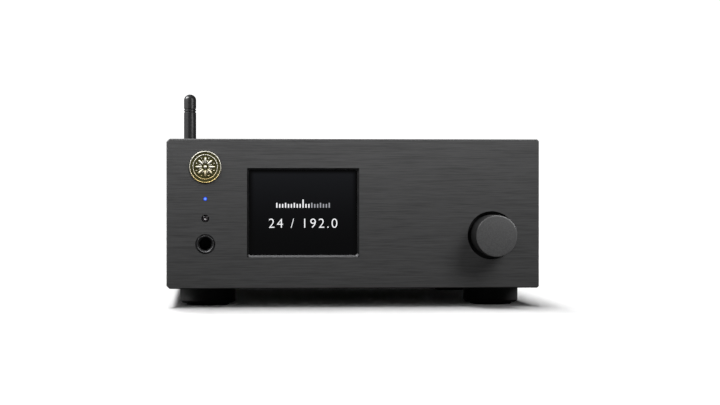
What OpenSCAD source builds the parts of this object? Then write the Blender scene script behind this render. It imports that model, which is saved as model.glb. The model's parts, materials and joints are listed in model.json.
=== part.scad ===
// Desktop DAC: a half-width audio converter with a display, a headphone socket,
// one push-and-turn knob and a jointed rod antenna behind.
// Millimetres. +X right as seen from the front, +Y to the back, +Z up.
// The origin is under the middle of the whole object, on the surface it stands on.

/* [Front panel] */
// Width of the front panel
panel_w = 200; // [198:1:230]
// Height of the front panel
panel_h = 80; // [79:1:100]
// Thickness of the front panel
panel_t = 8; // [7.5:0.5:12]
// Height of the panel's lower edge above the table
panel_lift = 10; // [8:0.5:16]
// Slanting cut of the panel's two left corners
left_cut = 1.6; // [0.5:0.1:4]
// Slanting cut of the panel's two right corners
right_cut = 0.9; // [0.5:0.1:4]
// Width of the bevel round the panel's front edge
panel_bevel = 0.5; // [0.2:0.1:1]

/* [Display] */
// Distance from the panel's left edge to the window
window_in = 42.8; // [40:0.1:50]
// Distance from the panel's lower edge to the window
window_up = 16.8; // [15:0.1:18]
// Width of the window where it meets the panel's face
window_w = 60; // [56:0.5:64]
// Height of the window where it meets the panel's face
window_h = 47.6; // [44:0.2:50]
// Width and depth of the bevel round the window
window_bevel = 1; // [0.4:0.1:1.2]
// Corner radius of the window
window_corner = 1.6; // [1.4:0.1:3]
// Depth of the display's cover glass behind the panel's face
glass_depth = 1.6; // [1.4:0.1:2]
// Thickness of the cover glass
glass_t = 1.2; // [0.8:0.1:1.5]
// How far the cover glass reaches behind the panel all round
glass_lap = 2; // [1:0.5:3]
// Thickness of the display module behind the glass
module_t = 3.8; // [3:0.1:4]

/* [Left column] */
// Distance of the badge, lamp, receiver and socket from the panel's left edge
column_in = 20.6; // [17:0.1:24]
// Height of the badge's centre above the panel's lower edge
badge_up = 64.9; // [62:0.1:66]
// Diameter of the badge
badge_d = 17; // [14:0.5:20]
// Thickness of the badge
badge_t = 1.7; // [1.2:0.1:2.5]
// Depth of the badge's seat in the panel
badge_seat = 0.8; // [0.4:0.1:1.2]
// Height of the lamp's centre above the panel's lower edge
lamp_up = 47.9; // [46:0.1:50]
// Diameter of the lamp's light guide
lamp_d = 2; // [1.6:0.1:3]
// Height of the infrared receiver's centre above the panel's lower edge
receiver_up = 37.5; // [36:0.1:40]
// Diameter of the infrared receiver's lens
receiver_d = 3.9; // [3:0.1:5]
// Height of the headphone socket's centre above the panel's lower edge
socket_up = 23.8; // [22:0.1:26]
// Bore of the headphone socket, for a quarter-inch plug
socket_bore = 6.5; // [6.4:0.05:6.6]
// Outer diameter of the headphone socket's collar
collar_d = 10.4; // [10:0.1:12]
// Diameter of the mouth through the collar
collar_mouth = 7.4; // [7:0.1:8]
// Depth that a plug can go into the socket
socket_depth = 28; // [24:0.5:31]

/* [Knob] */
// Distance of the knob's axis from the panel's right edge
knob_in = 25.7; // [20:0.1:32]
// Height of the knob's axis above the panel's lower edge
knob_up = 28.3; // [24:0.1:34]
// Diameter of the knob
knob_d = 22.2; // [20:0.2:28]
// How far the knob's face stands in front of the panel
knob_out = 20; // [15:0.5:25]
// Gap round the knob where it enters the panel
knob_gap = 1.9; // [1:0.1:2.5]
// Depth of the round seat that the knob enters
knob_seat = 5; // [4:0.25:5]
// Travel of the knob when it is pressed
push_travel = 0.5; // [0.3:0.1:0.8]
// Diameter of the encoder's shaft
shaft_d = 6; // [5:0.5:6.5]
// Radial clearance between the shaft and its bush
running_fit = 0.05; // [0.02:0.01:0.1]

/* [Case] */
// Depth of the sheet-metal case behind the front panel
case_d = 222; // [215:1:260]
// How far the case stands in from the panel's sides
case_in_x = 2; // [1.5:0.5:4]
// How far the case stands in from the panel's upper and lower edges
case_in_z = 1.5; // [1:0.25:2]
// Thickness of the steel sheet
sheet_t = 1.5; // [1:0.1:2]
// Thickness of the rear panel
rear_t = 2; // [1.5:0.1:3]
// Outer bend radius of the cover
cover_bend = 2.5; // [2:0.1:3.5]
// Height of the chassis flanges behind the cover's sides
flange_h = 16; // [14:1:24]
// Number of ventilation slots in each bank of the cover
slot_count = 14; // [6:1:18]
// Width of a ventilation slot
slot_w = 2.6; // [2:0.1:3.5]
// Length of a ventilation slot
slot_l = 44; // [30:1:56]
// Distance between two ventilation slots
slot_pitch = 6; // [5:0.5:7]

/* [Feet] */
// Diameter of a foot
foot_d = 30; // [24:1:34]
// Distance of the feet's axes from the case's sides
foot_in_x = 20; // [18:1:30]
// Distance of the feet's axes from the case's front and rear
foot_in_y = 24; // [22:1:40]
// Thickness of the rubber pad under a foot
pad_t = 3; // [2:0.5:4]
// How far the rubber pad stands out of its foot
pad_out = 1.2; // [0.8:0.1:1.6]

/* [Rear sockets] */
// Heights of the lower and upper socket rows above the case's floor
socket_row_low = 16.5; // [16.5:0.5:18]
// Height of the balanced outputs above the case's floor
socket_row_high = 53; // [52:0.5:55]
// Distance between a pair of outputs
output_pitch = 30; // [27:0.5:31]
// Outer diameter of an unbalanced socket's barrel
phono_d = 8.3; // [8.2:0.05:8.4]
// Length of an unbalanced socket's bare barrel
phono_l = 8; // [7:0.5:9]
// Inner diameter of a balanced output's shell
balanced_bore = 16.4; // [16.2:0.1:16.8]
// Depth of a balanced output's shell
balanced_depth = 15; // [14:0.5:16]

/* [Antenna] */
// Distance of the antenna from the case's left side
antenna_in = 8.7; // [8.5:0.1:9.5]
// Height of the antenna's elbow above the case's floor
antenna_up = 42.3; // [42:0.1:52]
// Diameter of the antenna's rod
rod_d = 8; // [7:0.1:9]
// Length of the antenna from its elbow to its tip
rod_l = 70.2; // [50:0.1:110]
// Distance of the elbow's axis behind the rear panel
elbow_out = 19.5; // [19:0.5:24]

/* [Hidden] */

eps = 0.01;
seat_gap = 0.1;          // clearance round a piece in its seat
slip_gap = 0.3;          // clearance round a piece that is slid in
curve_fn = 48;           // sides of a drawn circle
$fn = curve_fn;

// Depths, from front to back
overall_d = knob_out + panel_t + case_d + elbow_out + rod_d / 2;
panel_y = knob_out - overall_d / 2;                 // the panel's front face
wall_y = panel_y + panel_t;                         // the panel's back, the chassis wall's front
board_gap = 7;                                      // from the chassis wall to the control board
control_y = wall_y + sheet_t + board_gap;           // the control board's front face
board_t = 1.6;
rear_y = wall_y + case_d;                           // the rear panel's outer face
rear_in_y = rear_y - rear_t;                        // the rear panel's inner face

// Heights and widths
case_z = panel_lift + case_in_z;                    // the chassis's underside
floor_z = case_z + sheet_t;                         // the chassis's floor, inside
case_top = panel_lift + panel_h - case_in_z;        // the cover's top
roof_z = case_top - sheet_t;                        // the cover's underside
case_w = panel_w - 2 * case_in_x;
inner_w = case_w - 2 * sheet_t;                     // between the cover's sides
panel_left = -panel_w / 2;

// Front panel positions
column_x = panel_left + column_in;
badge_z = panel_lift + badge_up;
lamp_z = panel_lift + lamp_up;
receiver_z = panel_lift + receiver_up;
socket_z = panel_lift + socket_up;
knob_x = panel_w / 2 - knob_in;
knob_z = panel_lift + knob_up;
window_x = panel_left + window_in + window_w / 2;
window_z = panel_lift + window_up + window_h / 2;
clear_w = window_w - 2 * window_bevel;              // the opening behind the bevel
clear_h = window_h - 2 * window_bevel;
glass_w = clear_w + 2 * glass_lap;
glass_h = clear_h + 2 * glass_lap;
glass_y = panel_y + glass_depth;
module_y = glass_y + glass_t;
module_w = glass_w + 7;
module_h = glass_h + 0.6;
ribbon_w = 24;
ribbon_t = 0.6;
ribbon_slot_z = window_z - module_h / 2 + 9;        // where the display's ribbon leaves

// Headphone socket
bush_d = 9;
collar_t = 2;
socket_body_w = 14;
socket_body_h = 13;
socket_end_t = 1.5;
socket_body_l = panel_y + collar_t + seat_gap + socket_depth + socket_end_t - wall_y - sheet_t;

// Encoder and knob
encoder_w = 14;
encoder_h = 13;
bush_od = 7;
bush_tip = panel_y + knob_seat - 3.5;               // the bush's front end
nut_af = 10;
nut_t = 2;
knob_back_y = panel_y + knob_seat - push_travel - 0.7;
knob_hollow_d = 14.5;
knob_hollow = push_travel + 2 + knob_seat - 0.7;    // depth of the hollow behind the knob
knob_front_y = panel_y - knob_out;
knob_chamfer = 0.4;
shaft_flange_t = 1;
shaft_flange_y = wall_y + sheet_t + 3.1;
shaft_tip_y = knob_front_y + 7;
shaft_flat = shaft_d / 2 - 0.8;
plunger_t = 1.3;
plunger_y = shaft_flange_y + shaft_flange_t + running_fit;
cavity_d = shaft_d + 2.4;
grub_d = 3;
grub_l = 6;
grub_y = panel_y - knob_out / 2;

// Rear panel positions
row_low_z = floor_z + socket_row_low;
row_high_z = floor_z + socket_row_high;
output_x = [-62, -62 + output_pitch];
phono_in_x = -6;
optical_x = 14;
usb_x = -5;
network_x = 17;
inlet_x = case_w / 2 - 38;
inlet_z = floor_z + 20;
switch_z = floor_z + 53;
antenna_x = -case_w / 2 + antenna_in;
antenna_z = floor_z + antenna_up;
elbow_y = rear_y + elbow_out;

// Boards
standoff_h = 8;
main_z = floor_z + standoff_h;                      // the main board's underside
main_top = main_z + board_t;
transformer_d = 56;
transformer_h = 30;
transformer_x = inner_w / 2 - transformer_d / 2 - 6.5;
transformer_y = wall_y + 66;
main_left = -inner_w / 2 + 4.5;
main_right = transformer_x - transformer_d / 2 - 6;
main_front = wall_y + 40;
main_back = rear_in_y - 2.5;
tower_h = 32;
input_z = main_top + tower_h;                       // the input board's underside
input_top = input_z + board_t;
input_left = -16;
input_right = 30;
input_back = rear_in_y - 2.5;
input_front = input_back - 56;
supply_left = main_right + 5;
supply_right = inner_w / 2 - 4;
supply_back = rear_in_y - 44;
supply_front = transformer_y + transformer_d / 2 + 4;

// ---- Shared shapes ----

// A flat outline drawn in X and Z, given a thickness backwards from y
module slab(y, t) {
  translate([0, y + t, 0]) rotate([90, 0, 0]) linear_extrude(t) children();
}

// A round bar along Y, from y backwards
module bar_y(x, y, z, d, l) {
  translate([x, y, z]) rotate([-90, 0, 0]) cylinder(d = d, h = l);
}

// A round bar across, along X, centred on x
module bar_x(x, y, z, d, l) {
  translate([x - l / 2, y, z]) rotate([0, 90, 0]) cylinder(d = d, h = l);
}

// A hexagonal bar along Y, by its width across the flats
module hex_y(x, y, z, af, l) {
  translate([x, y, z]) rotate([-90, 0, 0]) cylinder(d = af / cos(30), h = l, $fn = 6);
}

// A box by its lowest corner and its highest corner
module block(low, high) {
  translate(low) cube(high - low);
}

// A rectangle with round corners, centred
module round_rect(w, h, r) {
  square([w - 2 * r, h], center = true);
  square([w, h - 2 * r], center = true);
  for (sx = [-1, 1], sz = [-1, 1])
    translate([sx * (w / 2 - r), sz * (h / 2 - r)]) circle(r = r);
}

// A machine screw along +Z with its seat at z = 0, its head above and its shank below
module screw(d, l, head_d, head_h, key_af) {
  difference() {
    union() {
      cylinder(d = head_d, h = head_h);
      translate([0, 0, -l]) cylinder(d = d, h = l + eps);
    }
    translate([0, 0, head_h * 0.4]) cylinder(d = key_af / cos(30), h = head_h, $fn = 6);
  }
}

// A countersunk screw along +Z, its flat face at z = 0
module flat_screw(d, l, head_d, head_h, key_af) {
  difference() {
    union() {
      translate([0, 0, -head_h]) cylinder(d1 = d, d2 = head_d, h = head_h);
      translate([0, 0, -l]) cylinder(d = d, h = l - head_h + eps);
    }
    translate([0, 0, -head_h * 0.6]) cylinder(d = key_af / cos(30), h = head_h, $fn = 6);
  }
}

// Faces a screw or other +Z shape to the front, to the back or to a side
module facing_front(x, y, z) { translate([x, y, z]) rotate([90, 0, 0]) children(); }
module facing_back(x, y, z) { translate([x, y, z]) rotate([-90, 0, 0]) children(); }
module facing_down(x, y, z) { translate([x, y, z]) rotate([180, 0, 0]) children(); }
module facing_side(s, x, y, z) { translate([x, y, z]) rotate([0, s * 90, 0]) children(); }

// ---- Front panel ----

panel_screw_d = 3;
panel_screw_spots = [
  for (x = [-panel_w / 2 + 8, 22, panel_w / 2 - 8], z = [panel_lift + 8, panel_lift + panel_h - 8]) [x, z]
];

// The panel's outline with its corners cut at 45 degrees, drawn smaller all round by the inset
module panel_outline(inset) {
  side = panel_w / 2 - inset;
  low = panel_lift + inset;
  high = panel_lift + panel_h - inset;
  left = left_cut - inset * (2 - sqrt(2));
  right = right_cut - inset * (2 - sqrt(2));
  polygon([
    [-side + left, low], [side - right, low], [side, low + right], [side, high - right],
    [side - right, high], [-side + left, high], [-side, high - left], [-side, low + left]
  ]);
}

module window_outline(w, h, r) {
  translate([window_x, window_z]) round_rect(w, h, r);
}

module front_panel() {
  color("dimgray") difference() {
    hull() {
      slab(panel_y + panel_bevel, panel_t - panel_bevel) panel_outline(0);
      slab(panel_y, panel_t) panel_outline(panel_bevel);
    }
    // Window, its bevel, and the seats of the glass and the display module
    hull() {
      slab(panel_y - eps, eps) window_outline(window_w, window_h, window_corner);
      slab(panel_y + window_bevel, eps) window_outline(clear_w, clear_h, window_corner - window_bevel / 2);
    }
    slab(panel_y, panel_t) window_outline(clear_w, clear_h, window_corner - window_bevel / 2);
    slab(glass_y, panel_t) window_outline(glass_w + 2 * seat_gap, glass_h + 2 * seat_gap, 1);
    slab(module_y, panel_t) window_outline(module_w + 2 * seat_gap, module_h + 2 * seat_gap, 1);
    // Badge, lamp, receiver and headphone socket
    bar_y(column_x, panel_y - eps, badge_z, badge_d + 2 * seat_gap, badge_seat + eps);
    bar_y(column_x, panel_y - eps, lamp_z, lamp_d + 2 * seat_gap, panel_t + 1);
    bar_y(column_x, panel_y - eps, receiver_z, receiver_d + 2 * seat_gap, panel_t + 1);
    bar_y(column_x, panel_y - eps, socket_z, collar_d + 2 * seat_gap, collar_t + seat_gap + eps);
    bar_y(column_x, panel_y, socket_z, bush_d + 2 * seat_gap, panel_t + 1);
    // Round seat of the knob, and the way through for the encoder's bush
    bar_y(knob_x, panel_y - eps, knob_z, knob_d + 2 * knob_gap, knob_seat + eps);
    bar_y(knob_x, panel_y, knob_z, bush_od + 2 * seat_gap, panel_t + 1);
    // Blind screw holes in the back
    for (s = panel_screw_spots)
      bar_y(s[0], wall_y - 5.5, s[1], panel_screw_d + 2 * running_fit, 6);
  }
}

module panel_screws() {
  color("black") for (s = panel_screw_spots)
    facing_back(s[0], wall_y + sheet_t, s[1]) screw(panel_screw_d, 6, 5.5, 2, 2);
}

module badge() {
  rim = 1.1;
  color("goldenrod") translate([column_x, panel_y + badge_seat, badge_z]) rotate([90, 0, 0])
    rotate_extrude() polygon([
      [0, 0], [badge_d / 2, 0], [badge_d / 2, badge_t - 0.3], [badge_d / 2 - 0.3, badge_t],
      [badge_d / 2 - rim, badge_t], [badge_d / 2 - rim - 0.3, badge_t - 0.4],
      [badge_d / 4, badge_t - 0.4], [0, badge_t - 0.2]
    ]);
}

module lamp_guide() {
  color("royalblue") translate([column_x, control_y - 3.6, lamp_z]) rotate([90, 0, 0])
    rotate_extrude() polygon([
      [0, 0], [lamp_d / 2, 0], [lamp_d / 2, control_y - 3.6 - panel_y - 0.3],
      [lamp_d / 2 - 0.3, control_y - 3.6 - panel_y], [0, control_y - 3.6 - panel_y]
    ]);
}

module receiver_lens() {
  lens_l = control_y - 5.1 - panel_y - 0.5;
  dome = 0.9;
  ball_r = (pow(receiver_d / 2, 2) + dome * dome) / (2 * dome);
  color("darkslategray") facing_front(column_x, control_y - 5.1, receiver_z) union() {
    cylinder(d = receiver_d, h = lens_l - dome);
    intersection() {
      cylinder(d = receiver_d, h = lens_l);
      translate([0, 0, lens_l - ball_r]) sphere(r = ball_r);
    }
  }
}

module socket_collar() {
  lip = 0.9;
  color("gray") facing_back(column_x, panel_y, socket_z) difference() {
    cylinder(d = collar_d, h = collar_t);
    translate([0, 0, -eps]) cylinder(d = collar_mouth, h = collar_t + 1);
    translate([0, 0, -eps]) cylinder(d1 = collar_mouth + 2 * lip, d2 = collar_mouth, h = lip);
  }
}

module headphone_socket() {
  bush_y = panel_y + collar_t + seat_gap;
  body_y = wall_y + sheet_t;
  color("black") difference() {
    union() {
      bar_y(column_x, bush_y, socket_z, bush_d, body_y - bush_y + 1);
      block([column_x - socket_body_w / 2, body_y, socket_z - socket_body_h / 2],
            [column_x + socket_body_w / 2, body_y + socket_body_l, socket_z + socket_body_h / 2]);
    }
    bar_y(column_x, bush_y - eps, socket_z, socket_bore, socket_depth + eps);
  }
}

// ---- Display ----

module display_glass() {
  color("black") slab(glass_y, glass_t) window_outline(glass_w, glass_h, 1);
}

module display_module() {
  pad_t0 = panel_t - glass_depth - glass_t - module_t;   // foam pad that presses the module forward
  color("silver") union() {
    slab(module_y, module_t) window_outline(module_w, module_h, 1);
    for (sz = [-1, 1]) slab(module_y + module_t - eps, pad_t0 + eps)
      translate([window_x, window_z + sz * (module_h / 2 - 3)]) square([module_w - 8, 4], center = true);
  }
}

// A flat ribbon in an S, from the display through the chassis wall to the control board
module display_ribbon() {
  y0 = module_y + module_t;
  bend = 3;
  color("peru") translate([window_x - ribbon_w / 2, 0, ribbon_slot_z]) rotate([90, 0, 90])
    linear_extrude(ribbon_w) union() {
      translate([y0, -ribbon_t / 2]) square([control_y - y0, ribbon_t]);
      translate([control_y - ribbon_t, -bend]) square([ribbon_t, bend + ribbon_t / 2]);
    }
}

// ---- Knob and encoder ----

module d_bar(d, flat, l) {
  intersection() {
    cylinder(d = d, h = l);
    translate([-d, -d, 0]) cube([2 * d, d + flat, l]);
  }
}

module knob() {
  r = knob_d / 2;
  l = knob_back_y - knob_front_y;
  color("dimgray") difference() {
    facing_front(knob_x, knob_back_y, knob_z) rotate_extrude() polygon([
      [0, 0], [r - knob_chamfer, 0], [r, knob_chamfer], [r, l - knob_chamfer], [r - knob_chamfer, l], [0, l]
    ]);
    bar_y(knob_x, knob_back_y - knob_hollow, knob_z, knob_hollow_d, knob_hollow + 1);
    facing_back(knob_x, shaft_tip_y - 0.4, knob_z)
      d_bar(shaft_d + 2 * running_fit, shaft_flat + running_fit, knob_back_y - shaft_tip_y);
    facing_down(knob_x, grub_y, knob_z) cylinder(d = grub_d + 2 * running_fit, h = r + 1);
  }
}

module knob_grub_screw() {
  color("black") facing_down(knob_x, grub_y, knob_z - shaft_flat - running_fit) difference() {
    cylinder(d = grub_d, h = grub_l);
    translate([0, 0, grub_l - 1.6]) cylinder(d = 1.5 / cos(30), h = 2, $fn = 6);
  }
}

module encoder_shaft() {
  color("silver") facing_back(knob_x, shaft_tip_y, knob_z) union() {
    d_bar(shaft_d, shaft_flat, bush_tip - shaft_tip_y - 2);
    translate([0, 0, bush_tip - shaft_tip_y - 2 - eps])
      cylinder(d = shaft_d, h = shaft_flange_y - bush_tip + 2 + 2 * eps);
    translate([0, 0, shaft_flange_y - shaft_tip_y]) cylinder(d = cavity_d - 0.6, h = shaft_flange_t);
  }
}

module push_plunger() {
  color("ivory") bar_y(knob_x, plunger_y, knob_z, 4, plunger_t);
}

module encoder_body() {
  y0 = wall_y + sheet_t;
  color("darkgray") difference() {
    union() {
      bar_y(knob_x, bush_tip, knob_z, bush_od, y0 - bush_tip + 1);
      block([knob_x - encoder_w / 2, y0, knob_z - encoder_h / 2],
            [knob_x + encoder_w / 2, control_y, knob_z + encoder_h / 2]);
    }
    bar_y(knob_x, bush_tip - eps, knob_z, shaft_d + 2 * running_fit, control_y - bush_tip);
    bar_y(knob_x, shaft_flange_y - 0.1, knob_z, cavity_d, control_y - shaft_flange_y + 1);
  }
}

module encoder_nut() {
  color("silver") difference() {
    hex_y(knob_x, panel_y + knob_seat - nut_t, knob_z, nut_af, nut_t);
    bar_y(knob_x, panel_y + knob_seat - nut_t - eps, knob_z, bush_od + 2 * running_fit, nut_t + 1);
  }
}

// ---- Control board ----

control_low = floor_z + 2;
control_high = roof_z - 3;
control_left = -inner_w / 2 + 3;
control_right = inner_w / 2 - 3;
control_spots = [
  for (x = [control_left + 14, control_right - 16], z = [control_low + 4, control_high - 4]) [x, z]
];

module control_board() {
  color("darkgreen") difference() {
    block([control_left, control_y, control_low], [control_right, control_y + board_t, control_high]);
    block([column_x - socket_body_w / 2 - slip_gap, control_y - 1, socket_z - socket_body_h / 2 - slip_gap],
          [column_x + socket_body_w / 2 + slip_gap, control_y + 3, socket_z + socket_body_h / 2 + slip_gap]);
    for (s = control_spots) bar_y(s[0], control_y - 1, s[1], 3.2, board_t + 2);
  }
}

// Threaded spacers from the chassis wall, and the screws that hold the board to them
module control_board_spacers() {
  color("silver") for (s = control_spots) {
    difference() {
      hex_y(s[0], wall_y + sheet_t, s[1], 5.5, board_gap);
      bar_y(s[0], wall_y + sheet_t + 1, s[1], 3 + 2 * running_fit, board_gap);
    }
    facing_back(s[0], control_y + board_t, s[1]) screw(3, 6, 5.5, 2, 2);
  }
}

// Lamp diode, infrared receiver, push contact and ribbon plugs, soldered to the board
module control_board_parts() {
  color("black") {
    bar_y(column_x, control_y - 3.5, lamp_z, 3, 3.5);
    block([column_x - 3, control_y - 5, receiver_z - 3.5], [column_x + 3, control_y, receiver_z + 3.5]);
    bar_y(knob_x, control_y - 0.5, knob_z, 4.5, 0.5);
    block([-14, control_y + board_t, main_top], [14, control_y + board_t + 5, main_top + 6]);
    for (x = [-50, -30, 30, 46])
      block([x - 5, control_y + board_t, knob_z + 10], [x + 5, control_y + board_t + 1.6, knob_z + 20]);
  }
}

// A flat ribbon from the control board's plug to the main board's, bowed upwards
module control_ribbon() {
  y0 = control_y + board_t + 5;
  y1 = main_front + 1;
  z0 = main_top + 3;
  bow = 4;
  t = 1;
  steps = 12;
  upper = [for (i = [0:steps]) [y0 + (y1 - y0) * i / steps, z0 + t / 2 + bow * sin(180 * i / steps)]];
  lower = [for (i = [steps:-1:0]) [y0 + (y1 - y0) * i / steps, z0 - t / 2 + bow * sin(180 * i / steps)]];
  color("lightgray") translate([-12, 0, 0]) rotate([90, 0, 90]) linear_extrude(24)
    polygon(concat(upper, lower));
}

// ---- Case ----

chassis_half = inner_w / 2 - seat_gap;
tab_w = 12;
screw_z = floor_z + 6.5;                            // height of the cover's side screws
side_screw_y = [wall_y + 30, (wall_y + rear_y) / 2, rear_y - 30];
rear_screw_spots = [
  for (x = [-chassis_half + tab_w / 2, chassis_half - tab_w / 2], z = [floor_z + 5, roof_z - 8]) [x, z]
];
foot_spots = [
  [-case_w / 2 + foot_in_x, wall_y + foot_in_y], [case_w / 2 - foot_in_x, wall_y + foot_in_y],
  [-case_w / 2 + foot_in_x, rear_y - foot_in_y], [case_w / 2 - foot_in_x, rear_y - foot_in_y]
];
antenna_bore = 6.35;

module chassis() {
  color("silver") difference() {
    union() {
      block([-chassis_half, wall_y, case_z], [chassis_half, rear_y, floor_z]);
      slab(wall_y, sheet_t) inner_section();
      slab(rear_in_y - sheet_t, sheet_t) difference() {
        inner_section();
        square([2 * (chassis_half - tab_w), 3 * panel_h], center = true);
      }
      for (s = [-1, 1]) translate([s * (chassis_half - sheet_t / 2), 0, 0])
        block([-sheet_t / 2, wall_y, case_z], [sheet_t / 2, rear_in_y, floor_z + flange_h]);
    }
    // Front wall
    for (s = panel_screw_spots) bar_y(s[0], wall_y - 1, s[1], 3.4, 4);
    bar_y(column_x, wall_y - 1, lamp_z, lamp_d + 1.2, 4);
    bar_y(column_x, wall_y - 1, receiver_z, receiver_d + 0.8, 4);
    bar_y(column_x, wall_y - 1, socket_z, bush_d + 2 * seat_gap, 4);
    bar_y(knob_x, wall_y - 1, knob_z, bush_od + 2 * seat_gap, 4);
    slab(wall_y - 1, 4) translate([window_x, ribbon_slot_z]) square([ribbon_w + 3, 4], center = true);
    // Floor
    for (f = foot_spots) translate([f[0], f[1], case_z - 1]) cylinder(d = 4.4, h = 4);
    for (i = [-5:5]) translate([-32 + i * 8, -10, case_z - 1]) linear_extrude(4) slot_outline(3, 34);
    // Side flanges and rear tabs
    for (s = [-1, 1], y = side_screw_y) bar_x(s * chassis_half, y, screw_z, 3 + 2 * running_fit, 6);
    for (s = rear_screw_spots) bar_y(s[0], rear_in_y - 4, s[1], 3 + 2 * running_fit, 6);
    bar_y(antenna_x, rear_in_y - 4, antenna_z, antenna_bore + 2 * seat_gap, 6);
  }
}

module slot_outline(w, l) {
  square([w, l - w], center = true);
  for (s = [-1, 1]) translate([0, s * (l - w) / 2]) circle(d = w, $fn = 16);
}

module cover_section(half, top, bend) {
  translate([-half, case_z]) square([2 * half, top - case_z - bend]);
  translate([-half + bend, case_z]) square([2 * (half - bend), top - case_z]);
  for (s = [-1, 1]) translate([s * (half - bend), top - bend]) circle(r = bend);
}

// The outline that fills the cover inside, with a little room
module inner_section() {
  cover_section(chassis_half, roof_z - seat_gap, cover_bend - sheet_t);
}

module top_cover() {
  color("darkgray") difference() {
    slab(wall_y + seat_gap, case_d - seat_gap) difference() {
      cover_section(case_w / 2, case_top, cover_bend);
      translate([0, -eps]) cover_section(inner_w / 2, roof_z + eps, cover_bend - sheet_t);
    }
    for (s = [-1, 1], i = [0:slot_count - 1])
      translate([s * 46 + (i - (slot_count - 1) / 2) * slot_pitch, 30, roof_z - 1])
        linear_extrude(4) slot_outline(slot_w, slot_l);
    for (s = [-1, 1], y = side_screw_y) facing_side(s, s * (case_w / 2 + eps), y, screw_z) {
      translate([0, 0, -1.6]) cylinder(d1 = 3.1, d2 = 6.1, h = 1.6);
      translate([0, 0, -4]) cylinder(d = 3.1, h = 5);
    }
  }
}

module cover_screws() {
  color("black") for (s = [-1, 1], y = side_screw_y)
    facing_side(s, s * case_w / 2, y, screw_z) flat_screw(3, 5, 5.8, 1.5, 2);
}

// ---- Rear panel ----

balanced_screw = [9.5, 12];
inlet_screw_x = 20;

module rear_panel() {
  color("dimgray") difference() {
    slab(rear_in_y, rear_t) inner_section();
    block([-case_w, rear_in_y - 1, 0], [case_w, rear_y + 1, floor_z + seat_gap]);
    for (x = output_x) {
      bar_y(x, rear_in_y - 1, row_high_z, balanced_d + 0.4, 4);
      bar_y(x, rear_in_y - 1, row_low_z, phono_root_d + 0.6, 4);
      for (s = [-1, 1])
        bar_y(x + s * balanced_screw[0], rear_in_y - 1, row_high_z - s * balanced_screw[1], 3.1, 4);
    }
    bar_y(phono_in_x, rear_in_y - 1, row_low_z, phono_root_d + 0.6, 4);
    rear_window(optical_x, (optical_low + optical_high) / 2,
                optical_w + 0.4, optical_high - optical_low + 0.4);
    rear_window(usb_x, input_top + usb_h / 2, usb_w + 0.6, usb_h + 0.6);
    rear_window(network_x, input_top + network_h / 2, network_w + 0.6, network_h + 0.6);
    rear_window(inlet_x, inlet_z, inlet_w + 0.4, inlet_h + 0.4);
    rear_window(inlet_x, switch_z, switch_w + 0.4, switch_h + 0.4);
    for (s = [-1, 1]) bar_y(inlet_x + s * inlet_screw_x, rear_in_y - 1, inlet_z, 3.1, 4);
    for (s = rear_screw_spots) bar_y(s[0], rear_in_y - 1, s[1], 3.3, 4);
    bar_y(antenna_x, rear_in_y - 1, antenna_z, antenna_bore + 2 * seat_gap, 4);
  }
}

module rear_window(x, z, w, h) {
  slab(rear_in_y - 1, 4) translate([x, z]) square([w, h], center = true);
}

module rear_screws() {
  color("black") for (s = rear_screw_spots)
    facing_back(s[0], rear_y, s[1]) screw(3, 6, 5.5, 1.8, 2);
}

// ---- Balanced outputs ----

balanced_d = 19;
balanced_flange_t = 2;
balanced_y = rear_y + balanced_flange_t;            // the shell's open end
balanced_floor_y = balanced_y - balanced_depth;
pin_ring = 3.6;
pin_d = 2.4;
pin_l = balanced_depth + 0.4;                       // the pins end 1.6 mm inside the shell

module balanced_out(x) {
  color("black") difference() {
    union() {
      slab(rear_y, balanced_flange_t) translate([x, row_high_z]) round_rect(26, 31, 2.5);
      bar_y(x, balanced_floor_y - 3, row_high_z, balanced_d, rear_y - balanced_floor_y + 3.5);
    }
    bar_y(x, balanced_floor_y, row_high_z, balanced_bore, balanced_depth + 1);
    for (s = [-1, 1])
      bar_y(x + s * balanced_screw[0], rear_y - 1, row_high_z - s * balanced_screw[1], 3.3, 4);
    for (a = [0, 180, 270])
      bar_y(x + pin_ring * cos(a), balanced_floor_y - 2, row_high_z + pin_ring * sin(a), pin_d, 3);
  }
}

module balanced_out_left() { balanced_out(output_x[0]); }
module balanced_out_right() { balanced_out(output_x[1]); }

module balanced_pins() {
  color("silver") for (x = output_x, a = [0, 180, 270])
    facing_back(x + pin_ring * cos(a), balanced_floor_y - 2, row_high_z + pin_ring * sin(a)) union() {
      cylinder(d = pin_d, h = pin_l - 0.8);
      translate([0, 0, pin_l - 0.8 - eps]) cylinder(d1 = pin_d, d2 = pin_d - 1.2, h = 0.8);
    }
}

// ---- Unbalanced sockets ----

phono_ring_t = 1.5;
phono_bore = 6.9;
phono_root_d = phono_d + 0.8;                       // where the barrel passes the rear panel and its ring
phono_neck = 0.2;                                   // the undercut in front of the ring
phono_body_w = 11;
phono_body_l = 10;

module phono(x) {
  color("gold") difference() {
    union() {
      block([x - phono_body_w / 2, rear_in_y - phono_body_l, main_top],
            [x + phono_body_w / 2, rear_in_y, main_top + 12.5]);
      bar_y(x, rear_in_y - 1, row_low_z, phono_root_d, 1 + rear_t + phono_ring_t);
      bar_y(x, rear_y, row_low_z, phono_d - 0.4, phono_ring_t + phono_neck + 1);
      bar_y(x, rear_y + phono_ring_t + phono_neck, row_low_z, phono_d, phono_l);
    }
    bar_y(x, rear_in_y - 4, row_low_z, phono_bore, 20);
  }
}

module phono_out_left() { phono(output_x[0]); }
module phono_out_right() { phono(output_x[1]); }
module phono_in() { phono(phono_in_x); }

module phono_rings() {
  color("white") for (x = [output_x[0], output_x[1], phono_in_x]) difference() {
    bar_y(x, rear_y, row_low_z, 12.4, phono_ring_t);
    bar_y(x, rear_y - 1, row_low_z, phono_root_d + 2 * running_fit, phono_ring_t + 2);
  }
}

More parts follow.
